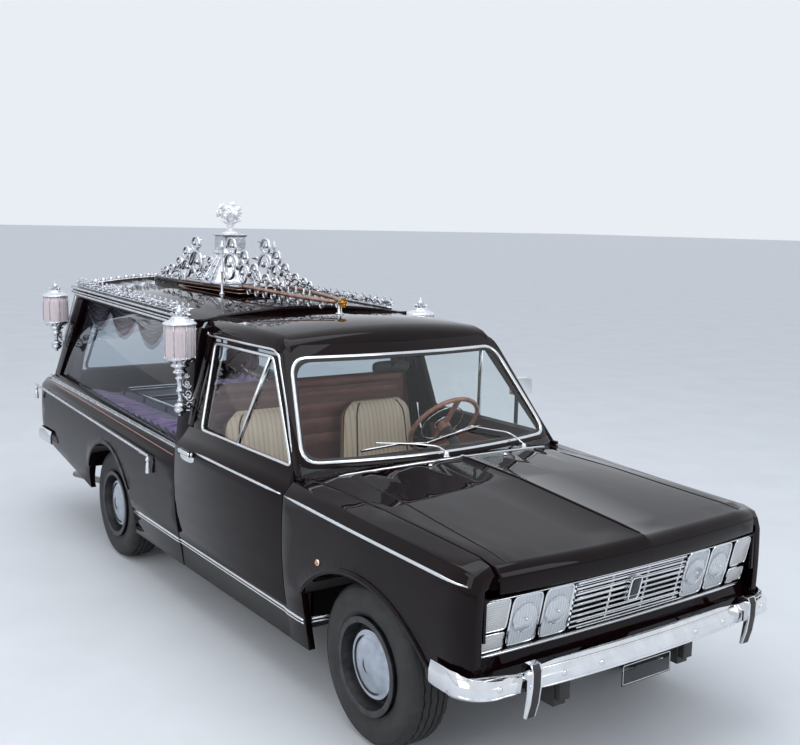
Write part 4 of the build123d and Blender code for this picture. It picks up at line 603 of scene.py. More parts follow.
# Window frames, quarter-light bars and drip rails of the doors
windowLook = {"slope": 0.2477, "half": 722, "level": 948, "wide": 0.015, "high": 0.006, "barWide": 0.017,
              "opening": ((-626, 955), (-970, 1368), (-1562, 1368), (-1506, 955)),
              "bar": ((-1126, 952), (-1000, 1366)), "dripWide": 0.012,
              "drip": ((-1668, 1418), (-1652, 1402), (-1600, 1398), (-1300, 1400), (-1000, 1400),
                       (-925, 1384), (-760, 1180), (-640, 1010))}
for hand, side in bothSides:
    up = Vector((0, side, windowLook["slope"])).normalized()

    def pane(x, z, lift=0.0):
        return at(x, side * (windowLook["half"] - windowLook["slope"] * (z - windowLook["level"])),
                  z) + up * lift

    shape = Shape()
    corners = [pane(x, z, 0.0005) for x, z in windowLook["opening"]]
    shape.sweep(filled(rounded(corners, 0.03), 0.05, True),
                beadSection(windowLook["wide"], windowLook["high"]), up, True)
    bar = [pane(*end) for end in windowLook["bar"]]
    shape.sweep(bar, beadSection(windowLook["barWide"], windowLook["high"], 0.012), up)
    shape.piece(f"window_frame_{hand}", [chrome], f"door_{hand}")
    line = curved([at(x, side * 1000, z) for x, z in windowLook["drip"]], 0.02, 6, 0.04)
    path = [landing(roofTree, p, leftY * -side) + leftY * (side * 0.001) for p in line]
    trim(f"drip_rail_{hand}", chrome, "root", path,
         beadSection(windowLook["dripWide"], windowLook["high"]), Vector((0, side, 0.4)),
         sizes=taper(len(path), 2))

# Door handles: a grip over a dished plate, with a push button; grip holds shares, half widths and heights
handleLook = {"back": -1580, "front": -1420, "level": 854, "outer": 822,
              "grip": ((0.0, 4, 6), (0.06, 11, 11), (0.2, 14, 14), (0.5, 15, 13), (0.75, 14, 13),
                       (0.94, 10, 11), (1.0, 4, 6)),
              "plate": ((1.0, -0.002), (1.0, 0.003), (0.9, 0.005), (0.7, 0.002), (0.3, 0.001)),
              "plateDrop": 26, "button": ((0.010, 0), (0.010, 0.010), (0.0085, 0.0118), (0.0004, 0.0122))}
for hand, side in bothSides:
    back, front, level, outer = (handleLook[key] for key in ("back", "front", "level", "outer"))
    outY = leftY * side
    shape = Shape()
    shape.rings([oval((at(back + (front - back) * t, side * (outer - 11), level), outY, riseZ, aheadX),
                      wide / 1000, high / 1000, 3, 0.0, 16) for t, wide, high in handleLook["grip"]])
    place = onSide(bodyTree, side, (back + front) / 2, level - handleLook["plateDrop"])
    shape.tiers((place, aheadX, riseZ, outY), 0.078, 0.022, 2.6, handleLook["plate"], 28)
    shape.lathe(at(front - 18, side * (outer - 6), level), handleLook["button"], outY, 18)
    shape.piece(f"door_handle_{hand}", [chrome], f"door_{hand}")
print("stage: screen, doors")

# Headlamps: each a tray with a bright dish, a bulb, a fluted lens and a chrome frame
lampLook = {"low": 562, "high": 756, "main": ((300, 434), (444, 578)), "marker": (590, 700), "deep": 0.036,
            "markerRows": ((562, 630), (638, 756)), "slant": 1.02, "frame": (0.008, 0.007),
            "markerFrame": (0.006, 0.006),
            "dish": ((0.97, 0.97, 6, 0.0005), (0.93, 0.94, 5, -0.001), (0.86, 0.80, 3, -0.0008),
                     (0.80, 0.66, 2.4, -0.0012), (0.45, 0.30, 2, -0.0006)),
            "socket": ((0.030, 0.0), (0.031, 0.003), (0.028, 0.005), (0.024, 0.003), (0.001, 0.002)),
            "bulb": ((0.013, 0.002), (0.013, 0.004), (0.0078, 0.0062), (0.0004, 0.0068)),
            "cover": ((0.985, 0.985, 7, 0.002), (0.975, 0.98, 7, 0.005), (0.80, 0.82, 4, 0.0062),
                      (0.02, 0.02, 2, 0.0066)),
            "disc": ((0.0520, 0.004), (0.0500, 0.0095), (0.040, 0.0130), (0.020, 0.0150),
                     (0.0004, 0.0155)),
            "discRing": ((0.0555, 0.004), (0.0550, 0.0085), (0.0530, 0.0095), (0.0515, 0.0070)),
            "markerCover": ((1, 1, 8, -0.001), (0.98, 0.98, 8, 0.004), (0.8, 0.8, 5, 0.007),
                            (0.02, 0.02, 2, 0.008))}
lampTree = treeOf("headlamps")
lampMats = [darkTray, chrome, lampLens, lampClear, markerLens]


def noseSpot(tree, y, z, reachY=18, reachZ=40):
    # a place on the nose with its level, rising and outward directions
    level = (onNose(tree, y + reachY, z) - onNose(tree, y - reachY, z)).normalized()
    rise = (onNose(tree, y, z + reachZ) - onNose(tree, y, z - reachZ)).normalized()
    out = level.cross(rise).normalized()
    return onNose(tree, y, z), level, rise, out if out.x > 0 else -out


for hand, side in bothSides:
    shape = Shape()
    for near, far in lampLook["main"]:
        spot = noseSpot(lampTree, side * (near + far) / 2, (lampLook["low"] + lampLook["high"]) / 2)
        middle, level, rise, out = spot
        wide = (far - near) / 2000 - 0.005
        tall = (lampLook["high"] - lampLook["low"]) / 2000 * lampLook["slant"] - 0.005
        shape.paint = 0
        shape.tiers(spot, wide, tall, 7, ((1, -0.001), (1, -lampLook["deep"])))
        shape.paint = 3
        shape.tiers(spot, wide, tall, 7, lampLook["dish"])
        shape.paint = 1
        shape.lathe(middle + rise * 0.012, lampLook["socket"], out, 32)
        shape.lathe(middle + rise * 0.012, lampLook["bulb"], out, 20)
        shape.paint = 2
        shape.tiers(spot, wide, tall, 7, lampLook["cover"])
        heart = middle + rise * 0.006
        shape.lathe(heart, lampLook["disc"], out, 48)
        shape.paint = 1
        shape.lathe(heart, lampLook["discRing"], out, 48)
        shape.ball(heart + out * 0.0145, 0.006, 10)
        shape.sweep(oval(spot, wide + 0.002, tall + 0.002, 7), boxSection(*lampLook["frame"], 0.01), out,
                    True)
    near, far = lampLook["marker"]
    for low, high in lampLook["markerRows"]:
        spot = noseSpot(lampTree, side * (near + far) / 2, (low + high) / 2, reachZ=20)
        wide, tall = (far - near) / 2000 - 0.004, (high - low) / 2000 * lampLook["slant"] - 0.003
        shape.paint = 0
        shape.tiers(spot, wide, tall, 8, ((1, -0.001), (1, -lampLook["deep"])))
        shape.paint = 4
        shape.tiers(spot, wide, tall, 8, lampLook["markerCover"])
        shape.paint = 1
        shape.sweep(oval(spot, wide + 0.001, tall + 0.001, 8), boxSection(*lampLook["markerFrame"], 0.01),
                    spot[3], True)
    lamps = sharpen(shape.piece(f"lamp_cluster_{hand}", lampMats, "root"))
    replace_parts(lamps, "headlamps")
print("stage: lamps")

# Bright bars above and below the lamps, thin bars between the grille's, and the bare badge
noseLook = {"lampBars": (("lower", 553, 0.013, 0.010, 700), ("upper", 761, 0.007, 0.006, 690)), "bow": 18,
            "bowHalf": 704, "grilleHalf": 284, "barFirst": 572, "barPitch": 21.75, "bars": 8,
            "barIn": 0.012, "barRadius": 0.0022, "badge": (0.027, 0.045), "badgeLevel": 676,
            "badgeFace": ((1.0, -0.001), (0.97, 0.004), (0.7, 0.006), (0.05, 0.0065))}
noseTree = treeOf("nose_panel", "grille", "headlamps", "fender_left", "fender_right")
for name, level, wide, high, half in noseLook["lampBars"]:
    path = [onNose(noseTree, y, level) for y in evenly(-half, half, 48)]
    trim(f"{name}_lamp_bar", chrome, "root", path, beadSection(wide, high, 0.003),
         Vector((1, 0, 0.1)), sizes=taper(len(path), 2))
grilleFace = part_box("grille")[1].x - noseLook["barIn"]
shape = Shape()
for k in range(noseLook["bars"]):
    z = noseLook["barFirst"] + noseLook["barPitch"] * (k + 0.5)
    path = [Vector((grilleFace - noseLook["bow"] * (y / noseLook["bowHalf"]) ** 2 / 1000, y / 1000, z / 1000))
            for y in evenly(-noseLook["grilleHalf"], noseLook["grilleHalf"], 24)]
    shape.sweep(path, roundSection(noseLook["barRadius"], 8), riseZ)
shape.piece("grille_thin_bars", [chrome], "root")
badge = noseSpot(treeOf("grille"), 0, noseLook["badgeLevel"], 10, 20)
shape = Shape()
shape.sweep(oval(badge, *noseLook["badge"], 6), boxSection(0.006, 0.008, 0.004), badge[3], True)
shape.paint = 1
shape.tiers(badge, *noseLook["badge"], 6, noseLook["badgeFace"])
shape.piece("badge_blank", [chrome, enamelDark], "root")

# Bumper bolts and the bare plate's border
bumperLook = {"boltLevel": 484, "bolts": (250, 420, 690),
              "bolt": ((0.011, -0.003), (0.011, 0.001), (0.008, 0.004), (0.0004, 0.005)),
              "plateEdge": 0.006, "line": (0.0026, 0.0012, 0.0006, 4)}
bumperTree = treeOf("front_bumper")
for hand, side in bothSides:
    shape = Shape()
    for y in bumperLook["bolts"]:
        shape.lathe(onNose(bumperTree, side * y, bumperLook["boltLevel"]), bumperLook["bolt"], aheadX, 20)
    shape.piece(f"bumper_bolts_{hand}", [chrome], "root")
plateLow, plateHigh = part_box("front_plate")
inset = bumperLook["plateEdge"]
corners = [Vector((plateHigh.x - 0.0006, y, z)) for y, z in (
    (plateLow.y + inset, plateLow.z + inset), (plateHigh.y - inset, plateLow.z + inset),
    (plateHigh.y - inset, plateHigh.z - inset), (plateLow.y + inset, plateHigh.z - inset))]
trim("plate_border", whiteLine, "root", filled(rounded(corners, inset), 0.04, True),
     beadSection(*bumperLook["line"]), aheadX, True)
print("stage: nose and bumper")

# Wheels: treaded tyres, hubcaps, rim rings and vent slots; profiles hold (radius, distance from the middle)
wheelLook = {"steps": 132, "hubOut": 0.655, "blockDeep": 0.0045, "zigzag": 0.0016,
             "ring": (0.1875, 0.0955, 0.0026), "slots": 16, "slotRadius": 0.153, "slot": (0.0135, 0.0075),
             "slotRims": ((1.25, 0.0035), (1.0, 0.0045)),
             "tyre": ((0.182, 0.066), (0.189, 0.078), (0.198, 0.083), (0.204, 0.0835), (0.2055, 0.0855),
                      (0.210, 0.0855), (0.2115, 0.0845), (0.232, 0.0885), (0.252, 0.0898), (0.268, 0.0888),
                      (0.282, 0.0852), (0.293, 0.0795), (0.2945, 0.0815), (0.302, 0.0755),
                      (0.3075, 0.0690), (0.3105, 0.0620), (0.3125, 0.0520), (0.3128, 0.0480),
                      (0.3055, 0.0465), (0.3055, 0.0425), (0.3134, 0.0410), (0.3140, 0.0240),
                      (0.3140, 0.0195), (0.3060, 0.0180), (0.3060, 0.0140), (0.3140, 0.0125),
                      (0.3140, 0.0)),
             "hub": ((0.134, 0.050), (0.1345, 0.060), (0.132, 0.065), (0.127, 0.0665), (0.121, 0.064),
                     (0.114, 0.0655), (0.108, 0.070), (0.098, 0.0735), (0.078, 0.0762), (0.052, 0.0778),
                     (0.034, 0.0782), (0.031, 0.0800), (0.020, 0.0806), (0.0005, 0.0808))}


def treadPlace(r, y, k):
    # notched shoulder blocks, and ribs that zigzag along the crown
    if 0.300 < r < 0.3135 and abs(y) > 0.045 and k % 4 == 0:
        r -= wheelLook["blockDeep"]
    shift = wheelLook["zigzag"] * (1 if (k // 2) % 2 else -1) if r > 0.305 and abs(y) < 0.045 else 0.0
    angle = 2 * math.pi * k / wheelLook["steps"] - math.pi / 2
    return Vector((r * math.cos(angle), y + shift, r * math.sin(angle)))


tyreRows = list(wheelLook["tyre"]) + [(r, -y) for r, y in reversed(wheelLook["tyre"][:-1])]
tread = [[treadPlace(r, y, k) for k in range(wheelLook["steps"])] for r, y in tyreRows]
for end, along in (("front", frontAxle), ("rear", rearAxle)):
    for hand, side in bothSides:
        hub = Vector((along, side * wheelLook["hubOut"], hubHeight))
        body, outY = f"wheel_{end}_{hand}", leftY * side
        shape = Shape()
        shape.rings([[hub + place for place in ring] for ring in tread], closed=True)
        tyre = sharpen(shape.piece(f"road_tyre_{end}_{hand}", [tyreRubber], body), 50)
        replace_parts(tyre, f"tyre_{end}_{hand}")
        shape = Shape()
        shape.lathe(hub, wheelLook["hub"], outY, 64)
        sharpen(shape.piece(f"hubcap_{end}_{hand}", [hubChrome], body), 42)
        radius, out, thick = wheelLook["ring"]
        trim(f"rim_ring_{end}_{hand}", wheelPaint, body,
             [hub + ray * radius + outY * out for ray in rays(72, aheadX, riseZ)], roundSection(thick, 8),
             outY, True)
        rimTree = treeOf(f"rim_{end}_{hand}")
        shape = Shape()
        for radial in rays(wheelLook["slots"], aheadX, riseZ, 0.5):
            foot = landing(rimTree, hub + radial * wheelLook["slotRadius"] + outY * 0.3, -outY)
            around = radial.cross(leftY)
            for paint, (share, lift) in enumerate(wheelLook["slotRims"]):
                shape.paint = paint
                wide, tall = (half * share for half in wheelLook["slot"])
                shape.tiers((foot, around, radial, outY), wide, tall, 2.6,
                            ((1.0, -0.002), (0.96, lift * 0.7), (0.85, lift)), 20)
        shape.piece(f"vent_slots_{end}_{hand}", [wheelPaint, slotDark], body)
print("stage: wheels")

# Small lamps on the front fenders, and the lenses of the tail lamps
smallLook = {"repeater": (-262, 655), "rim": ((0.01375, -0.004), (0.01375, 0.004), (0.011, 0.007)),
             "amber": ((0.011, 0.005), (0.0088, 0.010), (0.0044, 0.0125), (0.0004, 0.013)),
             "tail": ((624, 682, 1), (688, 746, 2), (752, 816, 1)), "tailOut": 674, "tailHalf": 0.036,
             "tailFace": ((1, 1, 6, -0.003), (0.98, 0.97, 6, 0.004), (0.8, 0.8, 4, 0.008),
                          (0.03, 0.03, 2, 0.009))}
tailTree = treeOf("tail_lamps")
for hand, side in bothSides:
    shape = Shape()
    spot = onSide(bodyTree, side, *smallLook["repeater"])
    shape.lathe(spot, smallLook["rim"], leftY * side, 24)
    shape.paint = 1
    shape.lathe(spot, smallLook["amber"], leftY * side, 24)
    shape.piece(f"side_repeater_{hand}", [chrome, amberLens], "root")
for hand, side in bothSides:
    shape = Shape()
    for low, high, paint in smallLook["tail"]:
        middle = landing(tailTree, at(-4600, side * smallLook["tailOut"], (low + high) / 2), aheadX)
        spot = (middle, leftY, riseZ, -aheadX)
        wide, tall = smallLook["tailHalf"], (high - low) / 2000
        shape.paint = paint
        shape.tiers(spot, wide, tall, 6, smallLook["tailFace"])
        shape.paint = 0
        shape.sweep(oval(spot, wide + 0.002, tall + 0.001, 6), boxSection(0.005, 0.006, 0.003), -aheadX, True)
    shape.piece(f"tail_lamp_lenses_{hand}", [chrome, redLens, amberLens], "root")
print("stage: small lamps")

# Carved silver: curls, leaves, flowers and twisted cord
def curl(shape, eye, a, b, radius, start, turns, thick, up, inner=0.22, steps=22, sides=7):
    # a tube that winds in towards its eye, where it is thinner and ends in a small ball
    path = []
    for t in evenly(0.0, 1.0, steps):
        angle = start + 2 * math.pi * turns * t
        path.append(eye + (a * math.cos(angle) + b * math.sin(angle)) * radius * (1 - (1 - inner) * t))
    shape.sweep(path, roundSection(thick, sides), up, sizes=evenly(1.0, 0.55, steps))
    shape.ball(path[-1], thick * 1.5)
    return path


def leaf(shape, foot, along, out, length, wide, roll=0.5, thick=0.22, spans=6):
    # a blade that rises from its foot and rolls over at the tip
    side = along.cross(out).normalized()
    rings = []
    for t in evenly(0.0, 1.0, spans):
        bend = roll * 2.2 * t * t
        centre = foot + along * (length * (t - 0.28 * bend * t)) + out * (length * 0.42 * bend * t)
        lean = (along * math.cos(bend) + out * math.sin(bend)).normalized()
        swell = 0.30 + 0.95 * math.sin(math.pi * min(1.0, 0.12 + 0.86 * t)) ** 0.8
        half = wide / 2 * swell * (1 - 0.55 * t ** 3)
        rings.append(oval((centre, side, side.cross(lean).normalized(), lean), half, half * thick, 1.7,
                          0.0, 8))
    shape.rings(rings)


def flower(shape, centre, out, radius, petals=6):
    side = out.orthogonal().normalized()
    for ray in rays(petals, side, out.cross(side)):
        leaf(shape, centre, (ray * 0.86 + out * 0.5).normalized(), out, radius, radius * 0.85, 0.35, 0.2, 4)
    shape.ball(centre + out * radius * 0.32, radius * 0.3, 7)


def rope(shape, path, radius, pitch, up, sides=12):
    # three strands twisted together
    rings, run = [], 0.0
    for i, point in enumerate(path):
        before, after = path[max(i - 1, 0)], path[min(i + 1, len(path) - 1)]
        run += (point - before).length
        side = (after - before).normalized().cross(up).normalized()
        top = side.cross((after - before).normalized()).normalized()
        turned = 2 * math.pi * run / pitch
        rings.append([point + ray * (radius * (0.84 + 0.16 * math.cos(3 * (2 * math.pi * k / sides + turned))))
                      for k, ray in enumerate(rays(sides, side, top))])
    shape.rings(rings)


def mm(rows):
    return [(a / 1000, b / 1000) for a, b in rows]


# Lanterns at the corners of the bay; turned parts hold paint, steps, ribs and (radius, height) rows
lanternLook = {"places": ((-1710, 990, 1), (-3705, 1092, -1)), "out": 742, "footHigh": 74, "stemTop": 1208,
               "foot": ((1, 0), (12, 3), (8, 10), (20, 16), (29, 26), (31, 36), (23, 46), (29, 52),
                        (30, 58), (17, 66), (12, 74)),
               "stem": ((0, 12), (0.04, 17), (0.08, 12), (0.14, 10), (0.34, 14), (0.37, 20), (0.41, 20),
                        (0.44, 12), (0.5, 11), (0.78, 18), (0.81, 24), (0.85, 24), (0.88, 15), (1.0, 20)),
               "turned": ((0, 36, (12, 0.03),
                           ((20, 1206), (33, 1209), (36, 1214), (30, 1220), (22, 1228), (34, 1238),
                            (45, 1243), (46, 1249), (34, 1254), (56, 1264), (72, 1276), (81, 1283),
                            (81, 1290), (76, 1292))),
                          (1, 84, (28, 0.026),
                           ((40, 1282), (75, 1287), (77, 1296), (78, 1344), (78, 1411), (76, 1447),
                            (40, 1451))),
                          (2, 40, (16, 0.015),
                           ((76, 1450), (84, 1452), (85, 1458), (79, 1463), (62, 1470), (47, 1478),
                            (43, 1484), (45, 1488), (30, 1494), (16, 1498))),
                          (0, 20, (6, 0.08),
                           ((14, 1496), (9, 1504), (17, 1512), (19, 1520), (13, 1530), (6, 1536),
                            (8, 1541), (6, 1546), (1, 1549)))), "ribs": 8,
               "rib": ((0.080, 1.286), (0.0815, 1.32), (0.0815, 1.42), (0.080, 1.452)), "ribThick": 0.0028,
               "brackets": ((0.055, 0.030), (0.115, 0.024), (0.165, 0.019)), "bracketTurn": (0.55, 0.83)}
shape = Shape()
for x, low, fore in lanternLook["places"]:
    for hand, side in bothSides:
        foot = at(x, side * lanternLook["out"], 0)
        stemLow = low + lanternLook["footHigh"]
        stemRows = [(r, stemLow + (lanternLook["stemTop"] - stemLow) * t) for t, r in lanternLook["stem"]]
        shape.paint = 0
        shape.lathe(foot, mm([(r, low + z) for r, z in lanternLook["foot"]]), riseZ, 28, (14, 0.04))
        shape.lathe(foot, mm(stemRows), riseZ, 28, (8, 0.06))
        for paint, steps, ribs, rows in lanternLook["turned"]:
            shape.paint = paint
            shape.lathe(foot, mm(rows), riseZ, steps, ribs)
        for ray in rays(lanternLook["ribs"]):
            rib = [foot + ray * r + riseZ * z for r, z in lanternLook["rib"]]
            shape.sweep(rib, roundSection(lanternLook["ribThick"], 6), ray)
            shape.ball(rib[0] + riseZ * 0.004, 0.006)
            leaf(shape, foot + ray * 0.030 + riseZ * 1.484, riseZ, ray, 0.040, 0.020, 0.55)
            leaf(shape, foot + ray * 0.060 + riseZ * 1.262, (ray * 0.5 + riseZ * 0.8).normalized(), ray,
                 0.034, 0.022, 0.3)
        # scroll bracket between the stem and the pillar
        ahead, aside = lanternLook["bracketTurn"]
        inward = Vector((fore * ahead, -side * aside, 0)).normalized()
        across = inward.cross(riseZ)
        for height, reach in lanternLook["brackets"]:
            middle = foot + inward * (0.014 + reach) + riseZ * (low / 1000 + height)
            curl(shape, middle, inward, riseZ, reach, math.pi, 1.3, 0.0042, across)
            curl(shape, middle + riseZ * 0.042, inward, riseZ, reach * 0.7, 0, -1.2, 0.0036, across)
            leaf(shape, middle + riseZ * 0.01, riseZ, -inward, 0.045, 0.018, 0.6)
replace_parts(shape.piece("lantern_set", [silver, lanternGlass, silverWhite], "root"), "lanterns")
print("stage: lanterns")

# Cresting along both cornices: palmettes between curls; tilt holds the cornice's two levels and their places
crestLook = {"out": 629, "first": -1845, "last": -3570, "pitch": 0.074, "high": 0.074,
             "tilt": (1473, 1524, -1722, -3643),
             "palmette": ((0, 1.0), (-0.5, 0.82), (0.5, 0.82), (-1.0, 0.6), (1.0, 0.6)),
             "curls": ((0.024, 0.020, 0.0, 0.018, 1.25, 0.0038, 0.25, 16),
                       (0.030, 0.046, 0.004, 0.011, 1.1, 0.0028, 0.3, 12))}


def corniceTop(x):
    low, high, fore, aft = crestLook["tilt"]
    return low + (high - low) * (x - fore) / (aft - fore)


for hand, side in bothSides:
    outY = leftY * side
    shape = Shape()
    first, last, pitch = crestLook["first"], crestLook["last"], crestLook["pitch"]
    rail = [at(x, side * crestLook["out"], corniceTop(x) + 3)
            for x in evenly(first, last, int((first - last) / 1000 / pitch))]
    for base in rail[:-1]:
        middle = base - aheadX * (pitch / 2) + riseZ * 0.0085
        tall = crestLook["high"] * random.uniform(0.9, 1.06)
        for lean, share in crestLook["palmette"]:
            along = (riseZ * math.cos(lean) + aheadX * math.sin(lean)).normalized()
            outward = (outY * (1 if random.random() > 0.25 else -1) + aheadX * lean * 0.5).normalized()
            leaf(shape, middle + outY * 0.002, along, outward, tall * share, tall * 0.30,
                 random.uniform(0.5, 0.95), 0.26)
        leaf(shape, middle + outY * 0.010, riseZ, outY, tall * 0.55, tall * 0.26, 1.0, 0.3, 5)
        for way in (-1, 1):
            for aside, up, out, radius, turns, thick, inner, steps in crestLook["curls"]:
                eye = middle + aheadX * (way * aside) + riseZ * up + outY * out
                curl(shape, eye, aheadX * way, riseZ, radius, -math.pi / 2, turns, thick, outY, inner,
                     steps, 6)
        flower(shape, middle + riseZ * 0.030 + outY * 0.008, outY, 0.012, 5)
    shape.sweep(rail, boxSection(0.016, 0.010, 0.006), riseZ)
    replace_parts(shape.piece(f"crest_leaves_{hand}", [silver], "root"), "cresting")

# Mouldings and beads under the cornice, and the trim along the glass
bayLook = {"mould": ((-9, 0.013, 0.007), (-30, 0.010, 0.006)), "bead": 0.0065, "beadPitch": 15.5,
           "fore": -1735, "aft": -3630, "under": 50, "sill": ((-1800, 808), (-3800, 892)), "sillPitch": 22,
           "line": ((-1770, 779), (-3680, 876)), "lineWide": 0.006}
baySideTree = treeOf("bay_side_left", "bay_side_right", "rear_frame")
for hand, side in bothSides:
    outY = leftY * side
    fore, aft = bayLook["fore"], bayLook["aft"]
    shape = Shape()
    for drop, wide, high in bayLook["mould"]:
        path = [onSide(bayRoofTree, side, x, corniceTop(x) + drop) for x in evenly(fore, aft, 40)]
        shape.sweep(path, beadSection(wide, high), outY)
    shape.piece(f"cornice_mouldings_{hand}", [silver], "root")
    shape = Shape()
    for x in evenly(fore, aft, int((fore - aft) / bayLook["beadPitch"])):
        spot = onSide(baySideTree, side, x, corniceTop(x) - bayLook["under"])
        shape.ball(spot + outY * 0.002, bayLook["bead"], 7, 1.5)
    shape.piece(f"cornice_beads_{hand}", [silver], "root")
    shape = Shape()
    (foreX, foreZ), (aftX, aftZ) = bayLook["sill"]
    count = int((foreX - aftX) / bayLook["sillPitch"])
    strip = [onSide(baySideTree, side, x, z) for x,
             z in zip(evenly(foreX, aftX, count), evenly(foreZ, aftZ, count))]
    for spot in strip:
        leaf(shape, spot + riseZ * 0.004 + outY * 0.003, riseZ, outY, 0.024, 0.017, 0.5, 0.3, 4)
        shape.ball(spot + outY * 0.003 + Vector((-0.011, 0, -0.004)), 0.0045, 6)
    shape.sweep(strip, beadSection(0.016, 0.004), outY)
    shape.piece(f"bay_sill_trim_{hand}", [silver], "root")
    trim(f"ledge_pinstripe_{hand}", pinkLine, "root", sideLine(bayLook["line"], side),
         beadSection(bayLook["lineWide"], 0.0015, 0.001, 4), Vector((0, side, 0.6)))
print("stage: cresting and mouldings")

# Twisted cord rails, with flowers and a tassel at each end
cordLook = {"out": 820, "ends": ((-1955, 746, 1), (-3910, 846, -1)), "radius": 0.0085, "pitch": 0.030,
            "flowers": 6, "flowerGap": 22,
            "tassel": ((0.5, 0), (6, -3), (8, -8), (11, -14), (12, -22), (8, -29), (6, -33), (9, -37),
                       (11, -60), (12.3, -88), (12, -90), (0.5, -91))}
for hand, side in bothSides:
    shape = Shape()
    out = side * cordLook["out"]
    rope(shape, filled([at(x, out, z) for x, z, fore in cordLook["ends"]], 0.006), cordLook["radius"],
         cordLook["pitch"], riseZ)
    for x, z, fore in cordLook["ends"]:
        for k in range(cordLook["flowers"]):
            flower(shape, at(x - cordLook["flowerGap"] * k * fore, out - side * 3, z), leftY * side,
                   0.0105, 5)
        shape.paint = 1
        shape.lathe(at(x, out, z - 2), mm(cordLook["tassel"]), riseZ, 36, (12, 0.08))
        shape.paint = 0
    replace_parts(shape.piece(f"cord_rail_{hand}", [silver, silverWhite], "root"), "tassel_rails")
print("stage: cord rails")

# Roof ornament: plinth, bell, capital, flowers and scrolls
roofLook = {"x": -2660, "plinthTop": 1590,
            "plinth": ((1.0, 1.0, 14, 1.548), (1.0, 1.0, 14, 1.578), (1.02, 1.04, 14, 1.582),
                       (1.02, 1.04, 14, 1.588), (0.99, 0.98, 14, 1.592)),
            "rearStep": ((1.0, 1.540), (1.0, 1.576), (0.97, 1.584)),
            "lines": ((424, 156, 1578), (422, 153, 1556)),
            "bell": ((176, 1588), (178, 1596), (170, 1602), (158, 1606), (150, 1616), (138, 1640),
                     (122, 1670), (104, 1700), (86, 1730), (74, 1750), (68, 1762), (70, 1770)),
            "bellRibs": 10, "flowerTurn": 0.314,
            "capital": ((80, 1766), (82, 1771), (81, 1776), (74, 1780), (73, 1786), (73, 1868), (75, 1873),
                        (80, 1877), (81, 1882), (79, 1886), (40, 1889)),
            "panel": (0.0735, 0.056, 1.827, 0.034),
            "stalk": ((46, 1884), (50, 1892), (30, 1900), (18, 1910), (14, 1925), (24, 1932), (18, 1942),
                      (12, 1962)),
            "core": ((10, 1950), (22, 1965), (44, 1990), (46, 2020), (28, 2050), (3, 2060)),
            "bunch": (2.012, 0.050, 0.040), "blooms": 12, "goldenTurn": 2.399963, "post": (-2420, 170),
            "postFoot": ((16, -2), (16, 6), (10, 12), (7, 20)),
            "postTop": ((7, 1660), (11, 1668), (11, 1676), (7, 1684), (7, 1800), (11, 1808), (13, 1818),
                        (8, 1830), (5, 1844), (0.4, 1852)), "plane": 120,
            "scrolls": ((250, 218, 58), (228, 98, 92), (398, 160, 50), (385, 66, 64), (512, 96, 44),
                        (545, 44, 40), (640, 52, 38), (735, 38, 31), (806, 28, 24)),
            "rail": ((-2236, 124, 1597), (-2000, 116, 1590), (-1760, 96, 1580), (-1560, 66, 1572),
                     (-1420, 24, 1566)), "nose": (-1404, 0, 1566)}
centre = at(roofLook["x"], 0, 0)
upright = (centre, aheadX, leftY, riseZ)
shape = Shape()
shape.tiers(upright, 0.420, 0.150, 14, roofLook["plinth"], 48)
shape.tiers((at(-3300, 0, 0), aheadX, leftY, riseZ), 0.300, 0.118, 14, roofLook["rearStep"], 40)
shape.paint = 1
for half, deep, level in roofLook["lines"]:
    corners = ((half, deep), (-half, deep), (-half, -deep), (half, -deep))
    loop = filled([at(roofLook["x"] + a, b, level) for a, b in corners], 0.08, True)
    shape.sweep(loop, roundSection(0.0028, 6), riseZ, True)
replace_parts(shape.piece("ornament_plinth", [blackPaint, bronze], "root"), "roof_ornament")

shape = Shape()
shape.lathe(centre, mm(roofLook["bell"]), riseZ, 80, (roofLook["bellRibs"], 0.035))
turn = roofLook["flowerTurn"]
for ray in rays(roofLook["bellRibs"]):
    between = ray * math.cos(turn) + riseZ.cross(ray) * math.sin(turn)
    rib = [centre + ray * (r * 1.03 + 0.003) + riseZ * z for r, z in mm(roofLook["bell"][3:-1])]
    shape.sweep(rib, roundSection(0.006, 7), ray)
    curl(shape, centre + ray * 0.176 + riseZ * 1.628, ray, riseZ, 0.024, math.pi / 2, -1.3, 0.006,
         ray.cross(riseZ))
    leaf(shape, centre + ray * 0.150 + riseZ * 1.612, (riseZ * 0.8 - ray * 0.35).normalized(), ray, 0.060,
         0.026, 0.4)
    flower(shape, centre + between * 0.106 + riseZ * 1.700, between, 0.015, 6)
shape.tiers(upright, 1.0, 1.0, 14, mm(roofLook["capital"]), 32)
out, wide, level, tall = roofLook["panel"]
for ray in (aheadX, -aheadX, leftY, -leftY):
    panel = [centre + ray * out + ray.cross(riseZ) * (a * wide) + riseZ * (level + b * tall)
             for a, b in ((-1, -1), (1, -1), (1, 1), (-1, 1))]
    shape.sweep(filled(panel, 0.05, True), roundSection(0.0028, 6), ray, True)
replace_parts(sharpen(shape.piece("ornament_bell", [silver], "root"), 55), "roof_ornament")

